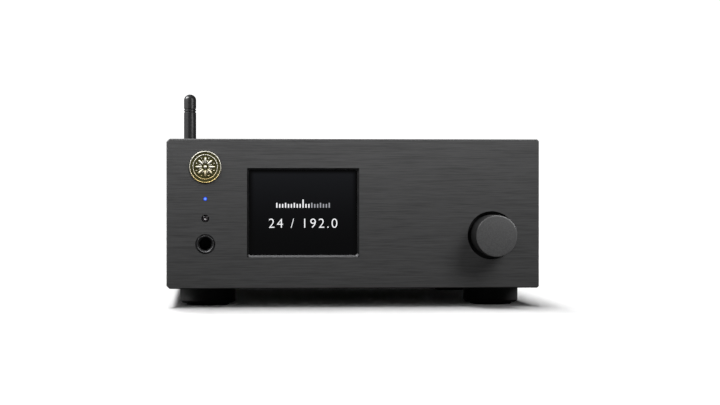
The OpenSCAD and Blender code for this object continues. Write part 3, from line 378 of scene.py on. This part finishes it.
def screen_black():
    """The display behind its cover glass: lit faintly, more at the top. It darkens towards its sides where its lit
    area ends, partly as painted shade, and a painted shadow darkens a band along its top edge.
    """
    f = Finish("screen_black", base_color=(0.0010, 0.0010, 0.0011), roughness=0.14, emission_strength=1.0,
               specular_ior_level=0.12)
    x, _, z = f.millimetres(window_at)
    bevel = 1.0                             # what the window's bevel takes off each side
    half_w = WINDOW_W / 2 - bevel
    half_h = WINDOW_H / 2 - bevel
    # darker towards the sides: the lit area's border, partly painted shade
    sides = (half_w - abs(x)).step(0.0, 3.4)
    # painted shadow: a dark band along the top edge
    top = (half_h - z).step(0.3, 2.8)
    rise = (z / (2 * half_h) + 0.5).clipped()
    lit = sides * top * (0.08 + rise * rise * 0.92)
    weave = f.noise(9000, detail=0.0)
    glow = lit * (0.94 + weave * 0.12)
    f.set(emission_color=f.blend(glow, (0.0012, 0.0012, 0.0012), (0.0098, 0.0104, 0.0122)))
    return f.material


def lit_ink(name, low, high):
    """What the display draws: its own light, between two colours from dot to dot."""
    f = Finish(name, base_color=(0.02, 0.02, 0.02), roughness=0.5, emission_strength=1.0)
    dots = f.noise(7000, detail=0.0)
    f.set(emission_color=f.blend(dots, low, high))
    return f.material


def lamp_blue():
    """Blue lamp: pale in the middle of its light guide, deep blue towards the rim."""
    f = Finish("lamp_blue", base_color=(0.01, 0.02, 0.3), roughness=0.25, emission_strength=1.0)
    x, _, z = f.millimetres((lamp_at.x, PANEL_Y, lamp_at.z))
    rim = from_axis(x, z).step(0.15, 1.0)
    f.set(emission_color=f.blend(rim, (0.20, 0.42, 1.0), (0.010, 0.045, 0.62)))
    return f.material


def smoked_lens():
    """The receiver's dark plastic under a gloss."""
    f = Finish("smoked_lens", roughness=0.24, specular_ior_level=1.0, coat_weight=1.0, coat_roughness=0.02)
    cloud = f.noise(900)
    f.set(base_color=f.blend(cloud, (0.006, 0.004, 0.006), (0.016, 0.011, 0.014)))
    return f.material


def lacquered_board():
    """Circuit board: green lacquer over a pattern of copper tracks."""
    f = Finish("lacquered_board", roughness=0.3, coat_weight=0.4)
    tracks = f.node("TexBrick", {"offset": 0.37, "squash": 1.6}, output="Fac",
                    Vector=f.place((420, 420, 420)), Scale=1.0, Mortar_Size=0.09)
    f.set(base_color=f.blend(tracks, (0.008, 0.065, 0.028), (0.03, 0.16, 0.07)))
    return f.bump(tracks, 0.00003).material


WINDING_TURNS = 90


def copper_winding():
    """Varnished winding: wires laid side by side round the ring."""
    f = Finish("copper_winding", roughness=0.35, metallic=0.3)
    x, y, _ = f.axes(f.place(at=middle("transformer")))
    phase = y.maths("ARCTAN2", y, x) * WINDING_TURNS
    ridges = phase.maths("SINE", phase)
    f.set(base_color=f.blend(ridges * 0.5 + 0.5, (0.16, 0.07, 0.02), (0.50, 0.24, 0.07)))
    return f.bump(ridges, 0.0002).material


def amber_film():
    """The display's flat cable: amber film over fine copper lines."""
    f = Finish("amber_film", roughness=0.28)
    lines = f.noise((6, 1, 1500), detail=0.0)
    f.set(base_color=f.blend(lines, (0.28, 0.11, 0.015), (0.46, 0.22, 0.04)))
    return f.material


MATERIALS = {
    "anodised_panel": brushed_panel(),
    "knob_metal": turned_knob(),
    "cover_paint": powder_coat("cover_powder", (0.022, 0.022, 0.023)),
    "chassis_steel": zinc_sheet(),
    "rear_paint": powder_coat("rear_powder", (0.026, 0.026, 0.027), 0.5),
    "black_screw": plated("black_oxide", (0.075, 0.075, 0.080), 0.32),
    "bright_screw": plated("bright_nickel", (0.72, 0.70, 0.67), 0.24),
    "foot_shell": moulded("foot_moulding", (0.007, 0.007, 0.0072), 0.6),
    "foot_rubber": soft_rubber("foot_rubber", (0.010, 0.010, 0.010)),
    "badge_gold": badge_gold(),
    "lamp_clear": lamp_blue(),
    "lens_smoke": smoked_lens(),
    "collar_nickel": plated("black_nickel", (0.10, 0.10, 0.103), 0.40),
    "socket_black": moulded("socket_moulding", (0.016, 0.016, 0.017), 0.4),
    "screen_glass": screen_black(),
    "module_metal": plated("module_frame", (0.5, 0.5, 0.5), 0.35),
    "film_amber": amber_film(),
    "shaft_steel": plated("turned_steel", (0.58, 0.58, 0.59), 0.25),
    "plunger_white": moulded("white_acetal", (0.68, 0.67, 0.63), 0.4),
    "encoder_case": plated("encoder_case", (0.5, 0.5, 0.51), 0.35),
    "board_green": lacquered_board(),
    "part_black": moulded("component_black", (0.02, 0.02, 0.022), 0.38),
    "ribbon_grey": moulded("ribbon_grey", (0.36, 0.36, 0.37), 0.45),
    "contact_gold": plated("gold_plate", (0.83, 0.60, 0.24), 0.2),
    "insert_white": moulded("white_insulator", (0.72, 0.71, 0.68), 0.38),
    "antenna_grey": moulded("antenna_satin", (0.026, 0.026, 0.027), 0.32, 0.0003, 0.000003),
    "winding_copper": copper_winding(),
    "wire_brown": moulded("wire_sleeve", (0.17, 0.06, 0.03), 0.45),
    "blade_metal": plated("blade_nickel", (0.68, 0.67, 0.65), 0.28),
}
# black plastic, ten times darker than the socket's moulding: painted shade in the hole
THROAT_BLACK_AND_SHADE = moulded("throat_black_and_shade", (0.0016, 0.0016, 0.0017), 0.7)
INK = {
    "lit_white": lit_ink("lit_white", (0.86, 0.88, 0.92), (1.0, 1.0, 1.0)),
    "lit_dim": lit_ink("lit_dim", (0.26, 0.27, 0.30), (0.36, 0.37, 0.40)),
    "print_white": moulded("white_print", (0.7, 0.7, 0.7), 0.5),
}


def dress_solids():
    """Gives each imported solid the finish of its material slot."""
    slots = {row["node"]: row["material_slot"] for row in frame["record"]["subparts"]}
    for name, solid in cad.items():
        solid.data.materials.clear()
        solid.data.materials.append(MATERIALS[slots[name]])


dress_solids()


# ---- Making pieces ----

SHARP = math.radians(32)                    # faces that meet at less are shaded as one
SAME_PLACE = 1e-6                           # metres


def settle(bm):
    """Merges doubles, turns faces outwards and smooths the shading, but not across sharp edges."""
    bmesh.ops.remove_doubles(bm, verts=bm.verts, dist=SAME_PLACE)
    bmesh.ops.recalc_face_normals(bm, faces=bm.faces)
    for face in bm.faces:
        face.smooth = True
    for edge in bm.edges:
        edge.smooth = len(edge.link_faces) == 2 and edge.calc_face_angle(0) < SHARP


def piece(name, bm, material, body="case", stands_for=()):
    """Makes an object of a bmesh that is already in its place, and sets what it rides on."""
    settle(bm)
    mesh = bpy.data.meshes.new(name)
    bm.to_mesh(mesh)
    bm.free()
    mesh.materials.append(material)
    made = bpy.data.objects.new(name, mesh)
    bpy.context.scene.collection.objects.link(made)
    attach(made, body)
    if stands_for:
        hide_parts(*stands_for)
    return made


def turned(bm, profile, at, axis=(0, -1, 0), steps=96):
    """Spins a profile of (radius, height) in millimetres about an axis through a point."""
    axis = Vector(axis)
    side = Vector((0, 0, 1)) if abs(axis.z) < 0.5 else Vector((1, 0, 0))
    verts = [bm.verts.new(Vector(at) + side * (r * MM) + axis * (h * MM)) for r, h in profile]
    edges = [bm.edges.new(pair) for pair in zip(verts, verts[1:])]
    bmesh.ops.spin(bm, geom=verts + edges, cent=at, axis=axis, angle=math.tau, steps=steps, use_merge=True)
    bmesh.ops.remove_doubles(bm, verts=bm.verts, dist=SAME_PLACE)


def arc(centre_r, centre_h, radius, start, end, count=6):
    """Profile points on a round stretch, from one angle to another in degrees."""
    angles = [math.radians(start + (end - start) * i / count) for i in range(count + 1)]
    return [(centre_r + radius * math.cos(a), centre_h + radius * math.sin(a)) for a in angles]


def block(bm, low, high):
    """A box between two corners in metres."""
    low, high = Vector(low), Vector(high)
    place = Matrix.Translation((low + high) / 2) @ Matrix.Diagonal((*(high - low), 1))
    bmesh.ops.create_cube(bm, size=1, matrix=place)


# ---- Badge ----

def make_badge():
    """A turned disc: a fine rim and a fine ring, round a generic rosette of petals and beads."""
    radius, proud = round_size("badge")
    back_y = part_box("badge")[1].y
    field = proud - 0.50                    # the sunk field, counted from the badge's back
    rim = 0.26                              # half the rim's width
    ring = radius - 2.0                     # radius of the ring's crest
    wire = 0.24                             # half the ring's width
    profile = [(0, 0), (radius, 0)]
    profile += arc(radius - rim, proud - rim, rim, 0, 180, 9)
    profile += [(radius - 0.60, proud - 0.42), (ring + wire, field)]
    profile += arc(ring, field + 0.18, wire, 0, 180, 9)
    profile += [(ring - wire, field), (0, field)]
    bm = bmesh.new()
    turned(bm, profile, (badge_at.x, back_y, badge_at.z), steps=180)

    def boss(turn, reach, half_size):
        """A low boss on the field: at a turn round the middle, and a reach out from it in millimetres."""
        place = (Matrix.Translation((badge_at.x, back_y - field * MM, badge_at.z))
                 @ Matrix.Rotation(turn, 4, "Y") @ Matrix.Translation((0, 0, reach * MM))
                 @ Matrix.Diagonal((*(size * MM for size in half_size), 1)))
        bmesh.ops.create_uvsphere(bm, u_segments=20, v_segments=12, radius=1, matrix=place)

    large_petal = (0.74, 0.49, 2.05)        # width, height off the field and length, all halved
    small_petal = (0.32, 0.42, 1.15)
    bead = (0.42, 0.46, 0.42)
    centre = (1.05, 0.49, 1.05)
    petals = 8
    for i in range(petals):
        turn = math.tau * i / petals
        between = turn + math.pi / petals
        boss(turn, 3.45, large_petal)
        boss(between, 5.0, bead)
        boss(between, 2.9, small_petal)
    boss(0, 0, centre)
    piece("badge_rosette", bm, MATERIALS["badge_gold"], stands_for=["badge"])


# ---- Knob ----

def make_knob():
    """The turned knob: rounded front and back edges, and the hollow for its nut."""
    radius, length = round_size("knob")
    hollow_r = round_size("encoder_nut")[0] + 1.4
    depth = 6.5                             # of the hollow
    bore_r = 3.1
    back_round = 0.3
    front_round = 0.55
    profile = [(bore_r, depth), (hollow_r, depth), (hollow_r, 0), (radius - back_round, 0)]
    profile += arc(radius - back_round, back_round, back_round, -90, 0, 3)
    profile += arc(radius - front_round, length - front_round, front_round, 0, 90, 8)
    profile += [(0, length)]
    bm = bmesh.new()
    turned(bm, profile, (knob_at.x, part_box("knob")[1].y, knob_at.z), steps=144)
    bmesh.ops.contextual_create(bm, geom=[e for e in bm.edges if len(e.link_faces) == 1])
    piece("knob_turned", bm, MATERIALS["knob_metal"], "knob", ["knob"])


# ---- Headphone socket and receiver ----

def make_collar():
    """The headphone socket's collar: a bevelled ring that stands free of its seat by a narrow groove."""
    flange, depth = round_size("socket_collar")
    mouth = 3.72
    ring = 4.58                             # the ring's outer radius in front of its flange
    bevel = 0.58
    profile = [(mouth, 0), (flange, 0), (flange, 0.8), (ring, 0.9)]
    profile += arc(ring - 0.14, depth - 0.14, 0.14, 0, 90, 3)
    profile += arc(mouth + bevel + 0.05, depth - 0.10, 0.10, 90, 140, 3)
    profile += arc(mouth + 0.12, depth - 0.62, 0.12, 140, 180, 3)
    profile += [(mouth, 0)]
    bm = bmesh.new()
    turned(bm, profile, (collar_at.x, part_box("socket_collar")[1].y, collar_at.z))
    piece("collar_turned", bm, MATERIALS["collar_nickel"], stands_for=["socket_collar"])


def make_throat():
    """The socket's throat behind its collar, which narrows to the plug's own hole; its black plastic is made
    darker still as painted shade in the hole.
    """
    mouth = 3.66
    hole = 3.3
    start = 0.7                             # how far the throat stands out from its back
    profile = [(hole, 0), (mouth, 0), (mouth, start), (mouth - 0.08, start), (hole + 0.06, 0.35), (hole, 0)]
    bm = bmesh.new()
    turned(bm, profile, (collar_at.x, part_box("socket_collar")[1].y, collar_at.z))
    piece("socket_throat", bm, THROAT_BLACK_AND_SHADE)


def make_receiver():
    """The receiver's lens: a rounded rim round a shallow hollow, which glints on more than one side."""
    radius, length = round_size("receiver_lens")
    crest = 1.28                            # radius of the rim's highest line
    edge_fall = 0.9
    hollow_fall = 0.55
    steps = 18
    profile = [(0, 0), (radius, 0)]
    for i in range(steps + 1):
        r = radius * (1 - i / steps)
        if r > crest:
            fall = edge_fall * ((r - crest) / (radius - crest)) ** 2
        else:
            fall = hollow_fall * ((crest - r) / crest) ** 2
        profile.append((r, length - fall))
    bm = bmesh.new()
    turned(bm, profile, (receiver_at.x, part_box("receiver_lens")[1].y, receiver_at.z), steps=48)
    piece("receiver_dome", bm, MATERIALS["lens_smoke"], stands_for=["receiver_lens"])


# ---- What the display shows ----

INK_DEPTH = 0.00004                         # thickness of the lit figures, in metres
FIGURE_SHARE = 0.73                         # height of a figure as a share of the font's size
STROKE_INSET = 0.00007                      # what is taken off the strokes' edges


def ink_text(name, words, height, at, ink, spacing):
    """Flat figures on the glass, centred on a point, of a height in metres."""
    curve = bpy.data.curves.new(name, "FONT")
    curve.body = words
    curve.size = height / FIGURE_SHARE
    curve.align_x = "CENTER"
    curve.align_y = "CENTER"
    curve.space_character = spacing
    curve.offset = -STROKE_INSET
    curve.extrude = INK_DEPTH / 2
    written = bpy.data.objects.new(name + "_curve", curve)
    bpy.context.scene.collection.objects.link(written)
    bpy.context.view_layer.update()
    mesh = bpy.data.meshes.new_from_object(written)
    bpy.data.objects.remove(written)
    mesh.transform(Matrix.Translation(at) @ Matrix.Rotation(math.pi / 2, 4, "X"))
    mesh.materials.clear()
    mesh.materials.append(ink)
    mesh.name = name
    made = bpy.data.objects.new(name, mesh)
    bpy.context.scene.collection.objects.link(made)
    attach(made, "case")


def make_readout():
    """A plain read-out: word length and sampling rate in large figures, with a level scale above them."""
    y = GLASS_Y - INK_DEPTH
    figures_at = (window_at.x, y, window_at.z - 0.0060)
    ink_text("rate_figures", "24 / 192.0", 0.0053, figures_at, INK["lit_white"], 1.24)
    bars = 19
    lit = 12                                # how many of the bars are bright
    pitch = 0.00156
    wide = 0.00068
    scale_z = window_at.z + 0.0026          # where all the bars stand
    lit_bars = bmesh.new()
    dim_bars = bmesh.new()
    for i in range(bars):
        from_centre = i - (bars - 1) / 2
        x = window_at.x + from_centre * pitch
        if from_centre == 0:
            tall = 0.0044
        elif from_centre % 3 == 0:
            tall = 0.0026
        else:
            tall = 0.0020
        low = (x - wide / 2, y - INK_DEPTH / 2, scale_z)
        high = (x + wide / 2, y + INK_DEPTH / 2, scale_z + tall)
        block(lit_bars if i < lit else dim_bars, low, high)
    piece("level_bars_lit", lit_bars, INK["lit_white"])
    piece("level_bars_dim", dim_bars, INK["lit_dim"])


# ---- Antenna ----

def make_rod():
    """The antenna's rod: domed tip, two fine grooves, and the tongue that the fork holds."""
    low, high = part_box("antenna_rod")
    pin = middle("antenna_pin")
    radius = (high.y - low.y) / 2 * PER_METRE
    length = (high.z - pin.z) * PER_METRE
    foot = 5.2                              # the rod's lower end, counted up from the pin
    foot_round = 0.5
    dome = 3.8
    groove = 0.50                           # depth of a groove, whose lower side slopes by 45 degrees
    profile = [(0, foot), (radius - foot_round, foot)]
    profile += arc(radius - foot_round, foot + foot_round, foot_round, -90, 0, 4)
    for start in (length - 11.95, length - 10.25):
        profile += [(radius, start), (radius - groove, start + groove)]
        profile += [(radius - groove, start + 0.80), (radius, start + 0.95)]
    for i in range(9):
        angle = math.radians(10 * i)
        profile.append((radius * math.cos(angle), length - dome + dome * math.sin(angle)))
    profile.append((0, length))
    bm = bmesh.new()
    turned(bm, profile, pin, (0, 0, 1), 64)
    piece("rod_turned", bm, MATERIALS["antenna_grey"], "antenna", ["antenna_rod"])
    make_tongue(pin, radius - 0.4, foot)


def make_tongue(pin, radius, height):
    """The tongue under the rod: a flat disc round the pin, and a stem from it up to the rod."""
    half = 0.0017
    inset = 0.00005                         # keeps the stem's sides just inside the disc's
    bm = bmesh.new()
    bmesh.ops.create_circle(bm, cap_ends=True, segments=48, radius=radius * MM,
                            matrix=Matrix.Rotation(math.pi / 2, 4, "Y"))
    raised = bmesh.ops.extrude_face_region(bm, geom=bm.faces[:])["geom"]
    raised = [v for v in raised if isinstance(v, bmesh.types.BMVert)]
    bmesh.ops.translate(bm, verts=raised, vec=(2 * half, 0, 0))
    bmesh.ops.translate(bm, verts=bm.verts, vec=pin - Vector((half, 0, 0)))
    stem = Vector((half - inset, radius * MM - inset, 0))
    block(bm, pin - stem, pin + stem + Vector((0, 0, height * MM)))
    piece("rod_tongue", bm, MATERIALS["antenna_grey"], "antenna")


# ---- Rear details ----

def make_contacts():
    """Gold contacts: eight on the network socket's floor, and four round the data socket's middle."""
    bm = bmesh.new()
    low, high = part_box("network_socket")
    contacts = 8
    pitch = 0.00102
    half_wide = 0.0002
    y0, y1 = high.y - 0.0115, high.y - 0.0035
    z0, z1 = low.z + 0.0021, low.z + 0.0027
    for i in range(contacts):
        x = (low.x + high.x) / 2 + (i - (contacts - 1) / 2) * pitch
        block(bm, (x - half_wide, y0, z0), (x + half_wide, y1, z1))
    low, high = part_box("usb_socket")
    half_wide = 0.0005
    half_thick = 0.0002
    y0, y1 = high.y - 0.0085, high.y - 0.0018
    for up in (-1, 1):
        for right in (-1, 1):
            x = (low.x + high.x) / 2 + right * 0.00125
            z = (low.z + high.z) / 2 + up * 0.0016
            block(bm, (x - half_wide, y0, z - half_thick), (x + half_wide, y1, z + half_thick))
    piece("data_contacts", bm, MATERIALS["contact_gold"])


def make_switch_marks():
    """A bar for on and a ring for off, on the two halves of the rocker."""
    pivot = Vector(next(j for j in frame["joints"] if j["name"] == "power_switch")["pos_m"])
    tilt = math.radians(9)                  # the rocker's at rest, and each half face's on the rocker
    apex = 0.0029                           # how far the rocker's ridge stands out from its pivot
    off_ridge = 0.0048                      # from the ridge to the middle of a mark
    lift = 0.03                             # half the marks' thickness, in millimetres
    rocked = Matrix.Translation(pivot) @ Matrix.Rotation(tilt, 4, "X") @ Matrix.Translation((0, apex, 0))

    def on_face(half):
        """The middle of the upper (1) or lower (-1) face."""
        turned_face = rocked @ Matrix.Rotation(-half * tilt, 4, "X")
        return turned_face @ Matrix.Translation((0, lift * MM, half * off_ridge))

    bm = bmesh.new()
    bar = Matrix.Diagonal((0.0006, 2 * lift * MM, 0.0036, 1))
    bmesh.ops.create_cube(bm, size=1, matrix=on_face(1) @ bar)
    start = len(bm.verts)
    outer = 1.9
    inner = 1.35
    profile = [(outer, -lift), (outer, lift), (inner, lift), (inner, -lift), (outer, -lift)]
    turned(bm, profile, (0, 0, 0), (0, 1, 0), 40)
    bm.verts.ensure_lookup_table()
    bmesh.ops.transform(bm, matrix=on_face(-1), verts=bm.verts[start:])
    piece("switch_marks", bm, INK["print_white"], "rocker")


make_badge()
make_knob()
make_collar()
make_throat()
make_receiver()
make_readout()
make_rod()
make_contacts()
make_switch_marks()


# ---- Floor, light and view ----

WORLD_LIGHT = 0.03                          # what the surroundings give the object
WORLD_WHITE = 1.15                          # and how bright the eye sees them
FLOOR_BOUNCE = 0.12                         # the floor's grey in the light that it throws back
FLOOR_WHITE = 0.90                          # and to the eye
FLOOR_HALF = 12                             # half its width, in metres


def lit_and_seen(tree, kind, lit, seen, outlet):
    """Fills a tree with two shaders of a kind: one lights and is mirrored, the other is what the eye sees."""
    tree.nodes.clear()
    ray = tree.nodes.new("ShaderNodeLightPath")
    either = tree.nodes.new("ShaderNodeMixShader")
    tree.links.new(ray.outputs["Is Camera Ray"], either.inputs["Fac"])
    for slot, values in ((1, lit), (2, seen)):
        shade = tree.nodes.new(kind)
        for name, value in values.items():
            shade.inputs[name].default_value = value
        tree.links.new(shade.outputs[0], either.inputs[slot])
    out = tree.nodes.new(outlet)
    tree.links.new(either.outputs[0], out.inputs["Surface"])


def grey(level):
    """An even colour for a socket."""
    return (level, level, level, 1)


def make_floor():
    """A white floor that throws back little light, as if black cards stood just out of view."""
    bm = bmesh.new()
    bmesh.ops.create_grid(bm, x_segments=1, y_segments=1, size=FLOOR_HALF)
    mesh = bpy.data.meshes.new("floor")
    bm.to_mesh(mesh)
    bm.free()
    floor = bpy.data.objects.new("floor", mesh)
    bpy.context.scene.collection.objects.link(floor)
    material = bpy.data.materials.new("floor_white")
    material.use_nodes = True
    lit_and_seen(material.node_tree, "ShaderNodeBsdfDiffuse", {"Color": grey(FLOOR_BOUNCE)},
                 {"Color": grey(FLOOR_WHITE)}, "ShaderNodeOutputMaterial")
    mesh.materials.append(material)
    return floor


def make_world():
    """White all round to the eye, and a dim grey light on the object."""
    world = bpy.data.worlds.new("studio")
    world.use_nodes = True
    lit_and_seen(world.node_tree, "ShaderNodeBackground", {"Color": grey(1), "Strength": WORLD_LIGHT},
                 {"Color": grey(1), "Strength": WORLD_WHITE}, "ShaderNodeOutputWorld")
    bpy.context.scene.world = world


def linked(name, things, state):
    """A collection that tells a lamp which objects it takes in or leaves out."""
    listed = bpy.data.collections.new(name)
    for thing in things:
        listed.objects.link(thing)
    for row in listed.collection_objects:
        row.light_linking.link_state = state
    return listed


def softbox(name, at, aim, size, power, spared=(), only=(), passes=()):
    """A rectangular lamp at a point, turned to face another. It spares some objects or lights only some,
    and some cast no shadow in its light, as if small flags stood before it."""
    data = bpy.data.lights.new(name, "AREA")
    data.shape = "RECTANGLE"
    data.size, data.size_y = size
    data.energy = power
    lamp = bpy.data.objects.new(name, data)
    lamp.location = at
    lamp.rotation_euler = (Vector(aim) - Vector(at)).to_track_quat("-Z", "Y").to_euler()
    lamp.visible_camera = False
    if spared:
        lamp.light_linking.receiver_collection = linked(name + "_spares", spared, "EXCLUDE")
    if only:
        lamp.light_linking.receiver_collection = linked(name + "_lights", only, "INCLUDE")
    if passes:
        lamp.light_linking.blocker_collection = linked(name + "_passes", passes, "EXCLUDE")
    bpy.context.scene.collection.objects.link(lamp)


SUN_OVERLAP = 1.7                           # each sun's width, counted in steps from one to the next


def sun_fan(name, strength, start, end, lean, spread, count, floor):
    """Even light on the floor alone. Its suns stand in an arc over the case, counted in degrees from straight
    up towards the back. They lean to the left by lean degrees, and by up to half of spread more or less."""
    floor_only = linked(name + "_floor_only", [floor], "INCLUDE")
    last = count - 1
    for i in range(count):
        tilt = math.radians(start + (end - start) * i / last)
        sideways = math.radians(lean + spread * (i * 2 % count / last - 0.5))
        data = bpy.data.lights.new(f"{name}_{i}", "SUN")
        data.energy = strength / count / math.cos(tilt)
        data.angle = math.radians(abs(end - start) / last * SUN_OVERLAP)
        lamp = bpy.data.objects.new(f"{name}_{i}", data)
        beam = Vector((math.tan(sideways), -math.tan(tilt), -1))
        lamp.location = beam * -3
        lamp.rotation_euler = beam.to_track_quat("-Z", "Y").to_euler()
        lamp.light_linking.receiver_collection = floor_only
        bpy.context.scene.collection.objects.link(lamp)


def objects(*names):
    """The scene's objects of these names."""
    return [bpy.data.objects[name] for name in names]


def make_lamps(floor):
    """Lamps for the front, top, rear and sides. The knob and the rod have lamps of their own, and most of the
    others spare them. Each row is a lamp's name, its place, what it faces, its size and its power."""
    knob_set = objects("knob_turned", "knob", "knob_grub_screw")
    rod_set = objects("rod_turned", "rod_tongue", "antenna_rod")
    rod_and_floor = [floor] + rod_set
    all_spared = [floor] + knob_set + rod_set
    front = PANEL_Y
    knob_face = (knob_at.x, front, 0.05)
    rear = (0, REAR_Y, 0.05)
    softbox("front_strip", (-0.36, front - 0.20, 0.29), (-0.10, front, 0.06), (0.60, 0.08), 1.2,
            spared=all_spared, passes=knob_set)
    softbox("edge_strip", (-0.07, front - 0.06, 0.155), (-0.07, front, 0.06), (0.38, 0.03), 0.22,
            spared=all_spared, passes=knob_set)
    softbox("key", (0.40, front - 0.58, 0.48), knob_face, (0.34, 0.34), 3.7, spared=all_spared)
    softbox("knob_lamp", (0.26, front - 0.70, 0.34), knob_face, (0.40, 0.40), 4.0, only=knob_set)
    softbox("knob_rim", (-0.36, front - 0.40, 0.40), knob_face, (0.05, 0.05), 0.9, only=knob_set)
    softbox("sill_strip", (-0.02, front - 0.03, 0.70), (-0.02, front, 0.05), (0.60, 0.05), 0.8,
            spared=rod_and_floor)
    softbox("left_strip", (-0.90, front + 0.06, 0.30), (-0.05, front, 0.05), (0.06, 0.70), 0.7,
            spared=all_spared)
    softbox("top_strip", (-0.42, -0.12, 0.78), (0, 0, 0.08), (0.30, 0.30), 5.0, spared=all_spared)
    for name, (x, y, z), aim_z, size, power in (
            ("rod_strip", (0.58, -0.58, 0.20), 0.11, (0.40, 0.90), 4.8),
            ("rod_glint", (-0.66, -0.06, 0.80), 0.12, (0.50, 0.50), 24.0),
            ("rod_left", (-0.74, -0.45, 0.15), 0.11, (0.6, 0.6), 1.5),
            ("rod_side", (-0.60, 0.28, 0.12), 0.11, (0.5, 0.8), 0.8),
            ("rod_rear", (0, 0.90, 0.30), 0.11, (0.9, 0.9), 1.4)):
        at = (rod_at.x + x, rod_at.y + y, z)
        softbox(name, at, (rod_at.x, rod_at.y, aim_z), size, power, only=rod_set)
    for name, at, aim, size, power in (
            ("rear_strip", (-0.2, REAR_Y + 0.45, 0.45), rear, (0.5, 0.2), 5.0),
            ("rear_key", (0.45, REAR_Y + 0.50, 0.40), rear, (0.2, 0.2), 5.0),
            ("side_strip", (0.75, 0.15, 0.5), (0.1, 0.05, 0.05), (0.2, 0.5), 4.0),
            ("far_side_strip", (-0.75, 0.15, 0.5), (-0.1, 0.05, 0.05), (0.2, 0.5), 4.0)):
        softbox(name, at, aim, size, power, spared=rod_and_floor)


make_world()
ground = make_floor()
sun_fan("ceiling", 3.45, -5, 40, 6, 15, 9, ground)      # keeps the floor white and lays the shadow forwards
sun_fan("under", 0.45, -78, -18, 12, 10, 5, ground)     # comes in under the front edge and softens the shadow
make_lamps(ground)
bpy.context.scene.view_settings.view_transform = "Standard"
bpy.context.scene.view_settings.look = "None"
